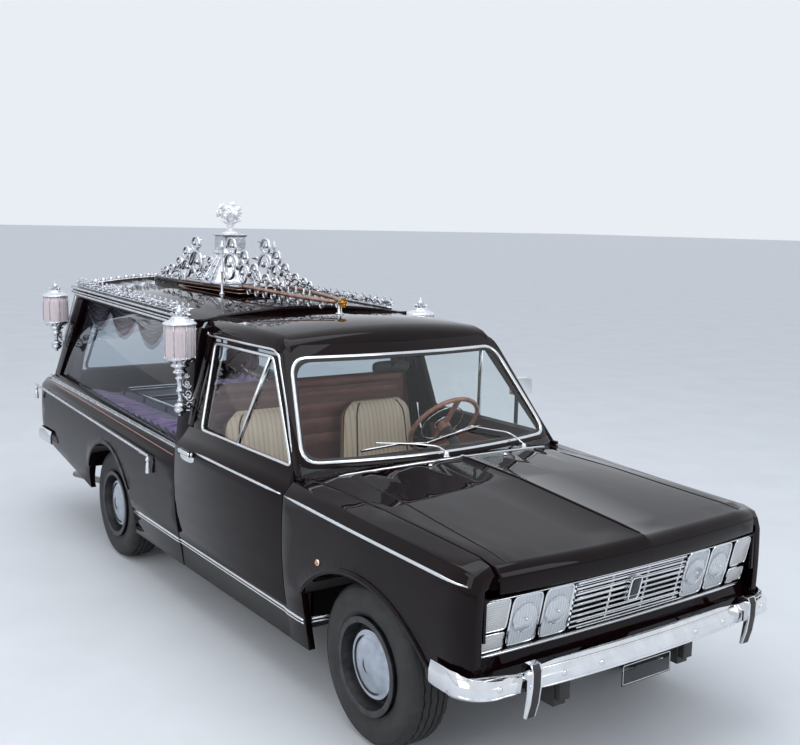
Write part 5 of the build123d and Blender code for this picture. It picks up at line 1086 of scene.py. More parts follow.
shape = Shape()
shape.lathe(centre, mm(roofLook["stalk"]), riseZ, 28, (8, 0.08))
shape.rings([[centre + ray * r + riseZ * z for ray in rays(20)] for r, z in mm(roofLook["core"])])
level, wide, tall = roofLook["bunch"]
for k in range(roofLook["blooms"]):
    up = 1 - 1.7 * (k + 0.5) / roofLook["blooms"]
    angle, flat = k * roofLook["goldenTurn"], math.sqrt(1 - up * up)
    ray = Vector((flat * math.cos(angle), flat * math.sin(angle), up))
    middle = centre + Vector((ray.x * wide, ray.y * wide, level + ray.z * tall))
    size = 0.80 + 0.35 * ((k * 7) % 5) / 4
    shape.ball(middle, 0.019 * size, 12)
    flower(shape, middle + ray * 0.008 * size, ray, 0.030 * size, 6)
for ray in rays(5):
    leaf(shape, centre + ray * 0.012 + riseZ * 1.940, (riseZ * 0.6 + ray * 0.8).normalized(), ray, 0.055,
         0.036, 0.6)
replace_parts(shape.piece("ornament_flowers", [petalWhite], "root"), "roof_ornament")

shape = Shape()
for side in (-1, 1):
    x, y = roofLook["post"][0], side * roofLook["post"][1]
    ground = onTop(bayRoofTree, x, y).z * 1000
    rows = [(r, ground + z) for r, z in roofLook["postFoot"]] + list(roofLook["postTop"])
    shape.lathe(at(x, y, 0), mm(rows), riseZ, 16)
shape.piece("ornament_posts", [silverWhite], "root")

shape = Shape()
for hand, side in bothSides:
    outY = leftY * side
    for way in (-1, 1):
        last = None
        for index, (distance, height, radius) in enumerate(roofLook["scrolls"]):
            lean = side * (roofLook["plane"] - 0.04 * distance * (1 if way > 0 else 0.6))
            eye = at(roofLook["x"] + way * distance, lean, roofLook["plinthTop"] + height)
            size = radius / 1000
            start, turns = (math.pi, -1.35) if index % 2 == 0 else (0, 1.35)
            path = curl(shape, eye, aheadX * way, riseZ, size * 1.08, start, turns, 0.0050 + size * 0.085,
                        outY, 0.26, 34, 10)
            ray = (aheadX * way * math.cos(2.6) + riseZ * math.sin(2.6)).normalized()
            leaf(shape, eye + ray * size * 0.9, ray, -outY, size * 0.45 + 0.008, size * 0.20 + 0.005, 0.8)
            if last is not None:
                bend = [last, last.lerp(path[0], 0.35) + riseZ * 0.015,
                        last.lerp(path[0], 0.7) - riseZ * 0.01, path[0]]
                shape.sweep(curved(bend, 0.03, 4, 0.02), roundSection(0.009, 8), outY)
            last = path[0]
            foot = landing(bayRoofTree, eye, -riseZ)
            if eye.z - foot.z > size * 0.8 and index > 1:
                shape.sweep([foot - riseZ * 0.002, eye - riseZ * size * 0.85], roundSection(0.005, 6), outY)
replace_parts(shape.piece("scroll_work", [silver], "root"), "roof_scrolls")

# Bronze rails with silver rings, that meet in a gold flower on a post
shape = Shape()
for hand, side in bothSides:
    outY = leftY * side
    line = filled([at(x, side * y, z) for x, y, z in roofLook["rail"]], 0.03)
    shape.paint = 0
    shape.sweep(line, roundSection(0.011, 10), riseZ)
    shape.paint = 1
    for point in line[2:-2:3]:
        spot = point - riseZ * 0.024
        shape.sweep([spot + ray * 0.018 for ray in rays(14, aheadX, riseZ)], roundSection(0.0045, 6), outY,
                    True)
        leaf(shape, spot + aheadX * 0.02 - riseZ * 0.014, riseZ, outY, 0.034, 0.016, 0.7)
shape.paint = 2
nose = at(*roofLook["nose"])
for ray in rays(10, leftY, riseZ):
    leaf(shape, nose, (ray * 0.8 + aheadX * 0.5).normalized(), aheadX, 0.044, 0.022, 0.6)
flower(shape, nose + aheadX * 0.012, aheadX, 0.026, 8)
shape.ball(nose + aheadX * 0.020, 0.013)
shape.paint = 1
foot = landing(treeOf("cab_roof", "bay_roof"), nose, -riseZ)
shape.lathe(Vector((nose.x, 0, foot.z)),
            ((0.022, -0.002), (0.022, 0.004), (0.012, 0.010), (0.009, nose.z - foot.z)), riseZ, 16)
shape.piece("bronze_rails", [bronze, silver, gold], "root")
print("stage: roof ornament")

# Cab: pleated seats with piping; back ends hold (x, height), and the squab's middle runs from rear over long
seatLook = {"out": 352, "half": 0.240, "backLow": (-1528, 452), "backHigh": (-1586, 1012),
            "backDeep": 0.060, "pleat": 0.027, "pleatDeep": 0.0045, "rings": 44, "count": 260,
            "piping": 0.0042, "pipeAngle": 0.588, "backPleats": 0.165, "rear": -1490, "long": 385,
            "squabLevel": 408, "squabRise": 16, "squabDeep": 0.062, "squabPleats": 0.17, "baseX": -1335,
            "tanBehind": 0.004}
# cream leather for the pleated faces, with painted shade: bands as wide as the pleats, dark in each pleat's
# crease and lightening towards each crest
creamPleat = newMaterial("cream_leather_painted_pleat_shade")
pleatShade = ramp(creamPleat, waves(creamPleat, 2 * math.pi / 20 / seatLook["pleat"], "Y"),
               (0.0, (0.76, 0.55, 0.38)), (0.05, (0.93, 0.71, 0.52)), (0.5, (1.0, 0.78, 0.58)),
               (1.0, (1.0, 0.82, 0.63)))
finished(creamPleat, principled(creamPleat, {"Base Color": pleatShade, "Roughness": 0.45}))


def cushionPlace(angle, wide, deep, power, swell, fade, pleats):
    # a place round a cushion's section, with the swell and the pleats on its upper face
    c, s = math.cos(angle), math.sin(angle)
    a, b = wide * signedPower(c, power), deep * signedPower(s, 0.62)
    if s > 0:
        fade *= min(1.0, s * 1.6)
        b += swell * (1 - (a / wide) ** 2) * fade if wide else 0
        if abs(a) < pleats:
            b += seatLook["pleatDeep"] * abs(math.sin(math.pi * a / seatLook["pleat"])) ** 0.6 * fade
    return a, b


def seatBack(side):
    low = at(seatLook["backLow"][0], side * seatLook["out"], seatLook["backLow"][1])
    high = at(seatLook["backHigh"][0], side * seatLook["out"], seatLook["backHigh"][1])
    fore = leftY.cross((high - low).normalized()).normalized()

    def point(angle, t, lift=0.0):
        # t runs from the foot to the top; the form pulls in at both ends and bellies forward between them
        crown, foot = max(0.0, (t - 0.80) / 0.20), max(0.0, (0.12 - t) / 0.12)
        wide = seatLook["half"] * (1 - 0.13 * t * t) * (1 - crown ** 3.2 * 0.34) * (1 - foot ** 3 * 0.08)
        deep = seatLook["backDeep"] * (1 - 0.22 * t)
        deep = deep * max(0.0, 1 - crown ** 2.6) ** 0.5 * (1 - foot ** 3 * 0.35)
        a, b = cushionPlace(angle, wide, deep, 0.58, 0.014 * math.sin(math.pi * min(1, t * 1.05)),
                            (1 - crown) * min(1.0, t * 8), seatLook["backPleats"])
        return low + (high - low) * t + leftY * a + fore * (b + lift)

    return point, fore


def squabPlace(side, angle, t):
    end = abs(2 * t - 1)
    shrink = max(0.0, (end - 0.80) / 0.20)
    deep = seatLook["squabDeep"] * max(0.0, 1 - shrink ** 2.4) ** 0.5 + 0.0004
    a, b = cushionPlace(angle, seatLook["half"] * (1 - shrink ** 3 * 0.12), deep, 0.55,
                        0.014 * (1 - end ** 2), 1 - shrink, seatLook["squabPleats"])
    return at(seatLook["rear"] + seatLook["long"] * t, side * seatLook["out"] + a * 1000,
              seatLook["squabLevel"] + seatLook["squabRise"] * t + b * 1000)


angles = [2 * math.pi * j / seatLook["count"] for j in range(seatLook["count"])]
for hand, side in bothSides:
    point, fore = seatBack(side)
    shape = Shape()
    shape.rings([[point(angle, t + 0.06 * math.sin(2 * math.pi * t) / (2 * math.pi)) for angle in angles]
                 for t in evenly(0.0, 1.0, seatLook["rings"])])
    base = point(0, 0.5)
    for i, face in enumerate(shape.faces):
        middle = sum((shape.verts[v] for v in face), Vector()) / len(face)
        if (middle - base).dot(fore) < seatLook["tanBehind"]:
            shape.paints[i] = 1
    back = shape.piece(f"seat_back_{hand}", [creamPleat, tanLeather], "root")
    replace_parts(back, f"seat_{hand}")
    shape = Shape()
    for angle in (math.pi / 2 - seatLook["pipeAngle"], math.pi / 2 + seatLook["pipeAngle"], 0.12,
                  math.pi - 0.12):
        line = [point(angle, t, 0.001) for t in evenly(0.02, 0.97, 30)]
        shape.sweep(line, roundSection(seatLook["piping"], 7), fore)
    shape.piece(f"seat_piping_{hand}", [pipingDark], "root")
    shape = Shape()
    shape.rings([[squabPlace(side, angle, t) for angle in angles] for t in evenly(0.0, 1.0, 30)])
    squab = shape.piece(f"seat_squab_{hand}", [creamPleat], "root")
    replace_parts(squab, f"seat_{hand}")
    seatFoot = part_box(f"seat_{hand}")[0].z
    shape = Shape()
    shape.tiers((at(seatLook["baseX"], side * seatLook["out"], 0), aheadX, leftY, riseZ), 1.0, 1.0, 8,
                ((0.205, 0.215, 8, seatFoot + 0.0005), (0.210, 0.215, 8, seatFoot + 0.020),
                 (0.190, 0.215, 8, 0.352), (0.186, 0.215, 8, 0.362)), 32)
    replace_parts(shape.piece(f"seat_base_{hand}", [dashBlack], "root"), f"seat_{hand}")
print("stage: seats")

# Padded rolls on the partition; rows hold (level, depth, half height)
rollLook = {"x": -1686, "rows": ((1112, 40, 30), (1046, 27, 33), (972, 30, 39), (888, 31, 42), (800, 32, 44)),
            "half": 596, "puckers": 6}
shape = Shape()
for level, deep, tall in rollLook["rows"]:
    rings = []
    for t in evenly(-1.0, 1.0, 60):
        full = max(0.02, 1 - max(0.0, (abs(t) - 0.965) / 0.035) ** 2) ** 0.5
        pucker = 1 - 0.10 * abs(math.sin(math.pi * rollLook["puckers"] * t)) ** 12
        ring = oval((at(rollLook["x"], rollLook["half"] * t, level), aheadX, riseZ, leftY),
                    deep * full * pucker / 1000, tall * (0.7 + 0.3 * full) / 1000, 2.3, 0.0, 20)
        flatBack = at(rollLook["x"], 0, 0).x
        rings.append([Vector((max(flatBack, p.x), p.y, p.z)) for p in ring])
    shape.rings(rings)
shape.piece("partition_rolls", [rollBrown], "root")

# Steering wheel's boss, horn ring and finger grips
wheelHub = {"place": (-985, 370, 962), "tilt": math.radians(38.0), "ring": (0.118, 0.0036), "grips": 48,
            "gripRadius": 0.1825,
            "boss": ((0.030, 0.010), (0.042, 0.013), (0.044, 0.018), (0.036, 0.026), (0.022, 0.031),
                     (0.020, 0.034), (0.008, 0.036), (0.0004, 0.0365))}
spin = Vector((-math.cos(wheelHub["tilt"]), 0, math.sin(wheelHub["tilt"])))
over = spin.cross(leftY).normalized()
hubSpot = at(*wheelHub["place"])
shape = Shape()
shape.lathe(hubSpot, wheelHub["boss"], spin, 32)
radius, thick = wheelHub["ring"]
shape.sweep([hubSpot + spin * 0.015 + ray * radius for ray in rays(64, leftY, over)],
            roundSection(thick, 8), spin, True)
shape.piece("horn_ring", [chrome], "steering_wheel")
shape = Shape()
for ray in rays(wheelHub["grips"], leftY, over, 0.5):
    shape.ball(hubSpot + ray * wheelHub["gripRadius"] - spin * 0.004, 0.0045, 6, 1.2)
shape.piece("wheel_grips", [tanRim], "steering_wheel")

# Mirrors inside the cab and on the door
mirrorLook = {"place": (-938, 0, 1292),
              "case": ((0.90, 0.014), (0.99, 0.008), (1.0, -0.004), (0.97, -0.007)),
              "glass": ((1.0, -0.006), (0.99, -0.0082), (0.5, -0.0083)),
              "arm": ((-888, 0, 1352), (-872, 0, 1388)), "door": (-886, 775, 1152),
              "doorGlass": ((1.0, 0.001), (0.98, -0.0015), (0.5, -0.0016))}
shape = Shape()
mirrorSpot = at(*mirrorLook["place"])
shape.tiers((mirrorSpot, leftY, riseZ, aheadX), 0.104, 0.029, 4, mirrorLook["case"], 32)
arm = [mirrorSpot + Vector((0.012, 0, 0.005)), mirrorSpot + Vector((0.030, 0, 0.030))]
shape.sweep(arm + [at(*place) for place in mirrorLook["arm"]], roundSection(0.006, 8), leftY)
shape.paint = 1
shape.tiers((mirrorSpot, leftY, riseZ, aheadX), 0.098, 0.0245, 4, mirrorLook["glass"], 32)
shape.piece("cabin_mirror", [dashBlack, mirrorGlass], "root")
shape = Shape()
shape.tiers((at(*mirrorLook["door"]), leftY, riseZ, aheadX), 0.052, 0.036, 5, mirrorLook["doorGlass"], 32)
shape.piece("door_mirror_glass", [mirrorGlass], "door_left")

# Dials on the dashboard: (y, level, radius), with rim and face as shares of the radius
dialLook = {"dials": ((430, 800, 0.052), (310, 800, 0.052), (370, 720, 0.026), (0, 790, 0.030)),
            "marks": 11, "rim": ((0.9, 0.004), (1.0, -0.004), (1.08, -0.006), (1.10, 0.004)),
            "markIn": 0.68, "markOut": 0.84}
dashTree = treeOf("dashboard")
shape = Shape()
for y, level, radius in dialLook["dials"]:
    spot = landing(dashTree, at(-1300, y, level), aheadX)
    shape.paint = 0
    shape.lathe(spot, [(radius * share, along) for share, along in dialLook["rim"]], aheadX, 36)
    shape.paint = 1
    shape.lathe(spot, [(radius * 0.92, 0.004), (radius * 0.92, -0.003), (0.0005, -0.0032)], aheadX, 36)
    shape.paint = 2
    for angle in evenly(-0.2 * math.pi, 1.2 * math.pi, dialLook["marks"] - 1):
        ray = leftY * math.cos(angle) + riseZ * math.sin(angle)
        ends = [spot + ray * (radius * share) - aheadX * 0.0036
                for share in (dialLook["markIn"], dialLook["markOut"])]
        shape.sweep(ends, roundSection(0.0009, 5), aheadX)
shape.piece("dash_dials", [chrome, dialFace, whiteLine], "root")
print("stage: cab")


def area(rows):
    total = 0.0
    for low, high in zip(rows, rows[1:]):
        for j in range(len(low) - 1):
            total += (low[j + 1] - low[j]).cross(high[j] - low[j]).length / 2
            total += (high[j] - high[j + 1]).cross(low[j + 1] - high[j + 1]).length / 2
    return total


def clothRows(place, down, across):
    # a grid of places, each given by its share down and its share across
    return [[place(i / down, j / across) for j in range(across + 1)] for i in range(down + 1)]


def cloth(name, mat, grids):
    # a sheet of one or more grids, and the area of it
    shape = Shape()
    for rows in grids:
        shape.sheet(rows)
    return shape.piece(name, [mat], "root", outward=False), sum(area(rows) for rows in grids)


# Velvet gathered beside the deck
drapeLook = {"fore": -1745, "aft": -3760, "inner": 335, "outer": 652, "reach": 640, "level": 774,
             "fold": 0.015, "folds": 21, "step": 12.5, "slack": 1.06}
for hand, side in bothSides:
    def drapePlace(v, u):
        x = drapeLook["fore"] + (drapeLook["aft"] - drapeLook["fore"]) * u
        y = drapeLook["inner"] + (drapeLook["reach"] - drapeLook["inner"]) * v
        wave = 2 * math.pi * drapeLook["folds"] * u + 1.1 * math.sin(5 * u * math.pi) + 0.9 * v
        lift = (0.5 + 0.5 * math.sin(wave)) * drapeLook["fold"] * (0.35 + 0.9 * v)
        lift += 0.004 * (1 + math.sin(3.1 * wave + 4 * v)) * v
        swell = 0.032 * math.sin(math.pi * v) ** 2 * (0.6 + 0.4 * math.sin(2.3 * math.pi * u))
        rise = 0.055 * max(0.0, (v - 0.72) / 0.28) ** 2
        return at(x, side * y, drapeLook["level"]) + riseZ * (lift + swell + rise)

    columns = int((drapeLook["fore"] - drapeLook["aft"]) / drapeLook["step"])
    drape, flat = cloth(f"velvet_drape_{hand}", velvetDeep, [clothRows(drapePlace, 24, columns)])
    wide = (drapeLook["outer"] - drapeLook["inner"]) / 1000 * drapeLook["slack"]

# Swagged curtains with a fringe, and a gathered curtain down each rear corner
swagLook = {"fore": -1800, "aft": -3500, "swags": 4, "lean": 0.1342, "glassHalf": 717, "glassLevel": 856,
            "inside": 46, "topDrop": 66, "head": 0.030, "sag": 0.135, "pleat": 0.009, "wide": 0.17,
            "cord": (0.0042, 0.018),
            "thread": ((0.0004, 0.002), (0.0028, -0.001), (0.0022, -0.008), (0.0036, -0.020),
                       (0.0004, -0.021)), "cornerFoot": (-3700, 905), "cornerHead": (-3505, 1400),
            "cornerInside": 62, "cornerTall": 0.54}
for hand, side in bothSides:
    def glassOut(z):
        return swagLook["glassHalf"] - swagLook["lean"] * (z - swagLook["glassLevel"])

    def swagPlace(start, v, u):
        x = start + (swagLook["aft"] - swagLook["fore"]) / swagLook["swags"] * u
        hangs = math.sin(math.pi * u) ** 0.8
        z = corniceTop(x) - swagLook["topDrop"] - 1000 * v * (swagLook["head"] + swagLook["sag"] * hangs)
        ripple = swagLook["pleat"] * math.sin(2 * math.pi * 4.2 * v + 0.6) * (0.3 + 0.7 * hangs)
        ripple += 0.005 * math.sin(2 * math.pi * 9 * u) * (1 - hangs)
        return at(x, side * (glassOut(z) - swagLook["inside"] - 1000 * ripple), z)

    def cornerPlace(v, u):
        (headX, headZ), (footX, footZ) = swagLook["cornerHead"], swagLook["cornerFoot"]
        z = headZ + (footZ - headZ) * v
        x = headX + (footX - headX) * v + (150 - 50 * math.sin(math.pi * min(1, v * 1.15))) * u
        fold = 15 * math.sin(2 * math.pi * 5 * u + 0.5 * math.sin(3 * v)) + 5 * math.sin(4 * v + 9 * u)
        return at(x, side * (glassOut(z) - swagLook["cornerInside"] - fold), z)

    starts = evenly(swagLook["fore"], swagLook["aft"], swagLook["swags"])[:-1]
    grids = [clothRows(lambda v, u: swagPlace(start, v, u), 28, 36) for start in starts]
    swag, flat = cloth(f"swag_curtain_{hand}", curtainPlum, grids)
    trims = Shape()
    for rows in grids:
        rope(trims, filled(rows[-1], 0.006), *swagLook["cord"], leftY * side, 9)
        for point in rows[-1][1:-1]:
            trims.lathe(point, swagLook["thread"], riseZ, 6)
    fringes = trims.piece(f"swag_fringe_{hand}", [fringe], "root")
    wide = swagLook["wide"]
    corner, flat = cloth(f"corner_curtain_{hand}", curtainPlum, [clothRows(cornerPlace, 30, 48)])
    tall = swagLook["cornerTall"]

# Bright stops on the deck
stopLook = {"places": (-3380, -2080), "level": 833,
            "post": ((0.085, 0.030, 3, -0.062), (0.085, 0.030, 3, -0.054), (0.050, 0.016, 3, -0.046),
                     (0.044, 0.012, 3, 0.02), (0.026, 0.010, 3, 0.10), (0.012, 0.008, 3, 0.145),
                     (0.004, 0.004, 3, 0.152)),
            "knob": ((0.005, 0.152), (0.012, 0.158), (0.014, 0.166), (0.009, 0.174), (0.0004, 0.177))}
shape = Shape()
for x in stopLook["places"]:
    spot = at(x, 0, stopLook["level"])
    shape.tiers((spot, leftY, aheadX, riseZ), 1.0, 1.0, 3, stopLook["post"], 24)
    shape.lathe(spot, stopLook["knob"], riseZ, 16)
shape.piece("deck_stops", [chrome], "root")
print("stage: bay")

# Bonnet: raised line, washer jets, rear strip and a fine crease near each side
bonnetLook = {"line": (-360, 650, 0.010, 0.0035), "jets": (-330, 210),
              "jet": ((0.009, -0.001), (0.009, 0.004), (0.006, 0.008), (0.003, 0.010), (0.0004, 0.0105)),
              "creaseRear": (-330, 548), "creaseFront": (640, 612), "crease": (0.009, 0.0028),
              "stripHalf": 585, "strip": (0.007, 0.0035), "seekFrom": -520, "seekStep": 3, "least": 0.90,
              "edgeIn": 0.009}
rear, front, wide, high = bonnetLook["line"]
path = [onTop(bonnetTree, x, 0) for x in evenly(rear, front, 30)]
trim("bonnet_line", blackPaint, "bonnet", path, beadSection(wide, high), riseZ,
     sizes=taper(31, 2, 0.5))
shape = Shape()
x, out = bonnetLook["jets"]
for y in (-out, out):
    shape.lathe(onTop(bonnetTree, x, y), bonnetLook["jet"], riseZ, 16)
shape.piece("washer_jets", [chrome], "bonnet")
print("stage: bonnet details")

# Wipers lying on the screen: a pivot (x, y), then arm and blade as (y, height) places
wiperLook = {"sets": (((-445, -35), ((-60, 985), (-184, 1006), (-350, 1021)),
                       ((-425, 1000), (-240, 1013), (-90, 1004))),
                      ((-452, 432), ((400, 992), (290, 1016), (172, 1044)),
                       ((-112, 1004), (30, 1024), (235, 1044)))), "armLift": 0.020, "clipLift": 0.012,
             "bladeLift": 0.008,
             "pivot": ((0.016, -0.002), (0.016, 0.004), (0.011, 0.008), (0.010, 0.022), (0.006, 0.026),
                       (0.0004, 0.027))}
cowlTree = treeOf("cowl")
shape = Shape()
for (x, y), arm, blade in wiperLook["sets"]:
    shape.paint = 0
    foot = onTop(cowlTree, x, y)
    shape.lathe(foot, wiperLook["pivot"], riseZ, 20)
    line = [foot + riseZ * 0.020] + [screenPlace(*place, wiperLook["armLift"])[0] for place in arm]
    line = curved(line, 0.05, 5, 0.02)
    lean = Vector((1, 0, 0.6))
    shape.sweep(line, boxSection(0.0085, 0.005, 0.001), lean, sizes=evenly(1.0, 0.55, len(line) - 1))
    clip, rubber = (filled([screenPlace(*place, wiperLook[key])[0] for place in blade], 0.02)
                    for key in ("clipLift", "bladeLift"))
    shape.sweep(clip, boxSection(0.006, 0.004, 0.001), lean, sizes=taper(len(clip), 2))
    shape.sweep([line[-1], clip[len(clip) // 2]], roundSection(0.003, 7), riseZ)
    shape.paint = 1
    shape.sweep(rubber, boxSection(0.009, 0.004, 0.007), lean)
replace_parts(shape.piece("wiper_set", [chrome, rubberBlack], "root"), "wipers")
print("stage: wipers")

# Door cards: pleated panel, armrest, crank and pull; places are (x, height)
cardLook = {"middle": (-1100, 652), "half": (455, 200), "lift": 0.010, "pleats": 22, "grid": (32, 132),
            "pleatHalf": 0.72, "armrest": (-1420, -1040, 705), "armrestSize": (0.024, 0.026),
            "crank": (-900, 640), "pull": (-780, 770),
            "boss": ((0.022, 0.004), (0.022, 0.014), (0.014, 0.018), (0.012, 0.030), (0.0004, 0.032)),
            "knob": ((0.009, 0.0), (0.010, 0.010), (0.008, 0.026), (0.0004, 0.029)),
            "dish": ((1.0, 0.001), (1.0, 0.008), (0.9, 0.011), (0.3, 0.008))}
for hand, side in bothSides:
    inY = leftY * -side

    def inner(x, z):
        return landing(doorTrees[hand], at(x, side * 300, z), -inY)

    def cardPlace(v, u):
        a, b = 2 * u - 1, 2 * v - 1
        edge = min(1.0, (1 - abs(a) ** 6) * 3, (1 - abs(b) ** 6) * 3)
        inPleats = abs(b) < cardLook["pleatHalf"]
        pleat = abs(math.sin(math.pi * cardLook["pleats"] * u)) ** 0.6 if inPleats else 0.6
        spot = inner(cardLook["middle"][0] + cardLook["half"][0] * a,
                     cardLook["middle"][1] + cardLook["half"][1] * b)
        return spot + inY * (0.0015 + cardLook["lift"] * edge * (0.55 + 0.45 * pleat))

    shape = Shape()
    shape.sheet(clothRows(cardPlace, *cardLook["grid"]))
    shape.piece(f"door_card_{hand}", [rollBrown], f"door_{hand}", outward=False)
    shape = Shape()
    rear, front, level = cardLook["armrest"]
    deep, tall = cardLook["armrestSize"]
    rings = []
    for t in evenly(0.0, 1.0, 20):
        size = max(0.05, 1 - abs(2 * t - 1) ** 5) ** 0.5
        middle = inner(rear + (front - rear) * t, level) + inY * 0.022
        rings.append(oval((middle, inY, riseZ, aheadX), deep * size, tall * size, 2.8, 0.0, 20))
    shape.rings(rings)
    shape.piece(f"armrest_{hand}", [maroonLeather], f"door_{hand}")
    shape = Shape()
    spot = inner(*cardLook["crank"])
    shape.lathe(spot, cardLook["boss"], inY, 24)
    arm = [spot + inY * out + Vector((x, 0, z)) for x, z, out in ((0, 0, 0.024), (-0.05, 0.03, 0.030),
                                                                  (-0.095, 0.055, 0.030))]
    shape.sweep(curved(arm, 0.03, 4, 0.01), boxSection(0.012, 0.005, 0.002), inY)
    shape.lathe(arm[-1], cardLook["knob"], inY, 16)
    spot = inner(*cardLook["pull"])
    shape.tiers((spot, aheadX, riseZ, inY), 0.045, 0.022, 3, cardLook["dish"], 24)
    lever = [spot + inY * out + aheadX * x for x, out in ((0.02, 0.010), (-0.01, 0.022), (-0.07, 0.020))]
    shape.sweep(curved(lever, 0.02, 4, 0.01), boxSection(0.014, 0.004, 0.002), inY)
    shape.piece(f"door_fittings_{hand}", [chrome], f"door_{hand}")
print("stage: door cards")

# Tailgate: bright frame round the glass, handle, plate lamp and a bare plate
gateLook = {"corners": ((-0.93, 0.03), (0.93, 0.03), (0.80, 0.97), (-0.80, 0.97)), "frameShare": 0.985,
            "handle": 812, "grip": ((1.0, -0.002), (1.0, 0.010), (0.92, 0.018), (0.4, 0.020)),
            "lock": ((0.014, -0.002), (0.014, 0.006), (0.010, 0.009), (0.0004, 0.010)),
            "plate": (0.26, 0.055, 700),
            "plateFace": ((1.0, -0.003), (1.0, 0.002), (0.985, 0.0035), (0.5, 0.0035)),
            "lampFace": ((1.0, -0.008), (1.0, 0.012), (0.9, 0.018), (0.3, 0.019))}
gateTree, glassTree = treeOf("tailgate"), treeOf("tailgate_glass")
glassLow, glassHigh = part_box("tailgate_glass")


def onGate(tree, y, z):
    return landing(tree, Vector((-3.2, y, z)), aheadX)


tall, half = glassHigh.z - glassLow.z, (glassHigh.y - glassLow.y) / 2
corners = [Vector((0, a * half * gateLook["frameShare"], glassLow.z + b * tall)) for a,
           b in gateLook["corners"]]
path = [onGate(glassTree, p.y, p.z) for p in filled(rounded(corners, 0.05), 0.04, True)]
trim("tailgate_glass_frame", chrome, "tailgate", path, beadSection(0.018, 0.007, 0.003),
     Vector((-1, 0, 0.35)).normalized(), True)
shape = Shape()
spot = onGate(gateTree, 0, gateLook["handle"] / 1000)
shape.tiers((spot, leftY, riseZ, -aheadX), 0.085, 0.017, 3, gateLook["grip"], 28)
shape.lathe(spot - riseZ * 0.045, gateLook["lock"], -aheadX, 20)
shape.piece("tailgate_handle", [chrome], "tailgate")
wide, high, level = gateLook["plate"]
spot = onGate(gateTree, 0, level / 1000) - aheadX * 0.004
rise = (onGate(gateTree, 0, level / 1000 + 0.04) - onGate(gateTree, 0, level / 1000 - 0.04)).normalized()
face = leftY.cross(rise)
face = face if face.x < 0 else -face
shape = Shape()
shape.tiers((spot, leftY, rise, face), wide, high, 14, gateLook["plateFace"])
shape.paint = 1
shape.sweep(oval((spot, leftY, rise, face), wide * 0.965, high * 0.90, 14, 0.003),
            beadSection(*bumperLook["line"]), face, True)
shape.paint = 2
shape.tiers((spot + rise * 0.078 + face * 0.006, leftY, rise, face), 0.075, 0.013, 4, gateLook["lampFace"])
shape.piece("rear_plate_blank", [plateBlack, whiteLine, chrome], "tailgate")

# A row of leaves and curls over the tailgate
rearLook = {"x": -3610, "half": 520, "spaces": 60, "every": 3}
shape = Shape()
rearTop = [onTop(bayRoofTree, rearLook["x"], y)
           for y in evenly(-rearLook["half"], rearLook["half"], rearLook["spaces"])]
for foot in rearTop[1:-1:rearLook["every"]]:
    leaf(shape, foot, riseZ, -aheadX, 0.050, 0.024, 0.7)
    for way in (-1, 1):
        leaf(shape, foot, (riseZ * 0.8 + leftY * (way * 0.6)).normalized(), -aheadX, 0.038, 0.018, 0.8)
        curl(shape, foot + leftY * (way * 0.020) + riseZ * 0.016, leftY * way, riseZ, 0.013, -math.pi / 2,
             1.2, 0.0032, aheadX, 0.25, 14, 6)
shape.sweep(rearTop, boxSection(0.014, 0.007, 0.004), riseZ)
shape.piece("rear_crest", [silver], "root")
print("stage: tailgate")

# Engine dressing: ribbed rocker cover, filler cap and air cleaner; heights are counted from the block's top
engineLook = {"cover": ((1, -0.002), (1, 0.010), (0.95, 0.014), (0.90, 0.050), (0.80, 0.062),
                        (0.4, 0.064)), "ribs": 6,
              "cap": ((0.020, 0), (0.020, 0.012), (0.014, 0.020), (0.0004, 0.022)),
              "cleaner": ((0.03, 0.0), (0.03, 0.02), (0.060, 0.024), (0.066, 0.032), (0.066, 0.066),
                          (0.060, 0.074), (0.040, 0.078), (0.020, 0.078), (0.016, 0.086), (0.0004, 0.088))}
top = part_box("engine")[1].z * 1000
shape = Shape()
shape.tiers((at(-30, 0, top), aheadX, leftY, riseZ), 0.290, 0.078, 8, engineLook["cover"])
for k in range(engineLook["ribs"]):
    shape.sweep([at(x, 20 * k - 50, top + 62) for x in (-240, 180)], beadSection(0.008, 0.006), riseZ)
shape.paint = 1
shape.lathe(at(60, 0, top + 60), engineLook["cap"], riseZ, 20)
shape.paint = 2
shape.lathe(at(-110, -150, top + 2), engineLook["cleaner"], riseZ, 40)
shape.piece("engine_dress", [silver, chrome, underPaint], "root")
print("stage: engine")

# Bright strip down each rear corner of the bay
cornerLook = {"foot": (-3870, 896), "head": (-3607, 1462), "section": (0.014, 0.006, 0.002)}
for hand, side in bothSides:
    (footX, footZ), (headX, headZ) = cornerLook["foot"], cornerLook["head"]
    path = [onSide(bodyTree, side, x, z) for x, z in zip(evenly(footX, headX, 24), evenly(footZ, headZ, 24))]
    trim(f"rear_corner_strip_{hand}", silverWhite, "root", path,
         beadSection(*cornerLook["section"]), leftY * side)
print("stage: corner strips")

# Raised lines along the front bumper, between its overriders and round its corners
ridgeLook = {"levels": (512, 456), "high": 0.0045, "between": 530, "outer": 610, "corner": 775,
             "ends": (700, 560), "sunk": 0.0008, "foremost": 738}
shape = Shape()
for level in ridgeLook["levels"]:
    paths = [[onNose(bumperTree, y, level) for y in evenly(-ridgeLook["between"], ridgeLook["between"], 40)]]
    for side in (-1, 1):
        front = [onNose(bumperTree, side * y, level)
                 for y in evenly(ridgeLook["outer"], ridgeLook["corner"], 12)]
        paths.append(front + [onSide(bumperTree, side, x, level) for x in evenly(*ridgeLook["ends"], 6)])
    for path in paths:
        path = [spot - aheadX * ridgeLook["sunk"] for spot in path
                if spot.x < at(ridgeLook["foremost"], 0, 0).x]
        shape.sweep(path, roundSection(ridgeLook["high"], 8), riseZ, sizes=taper(len(path), 2))
shape.piece("bumper_ridges", [chrome], "root")

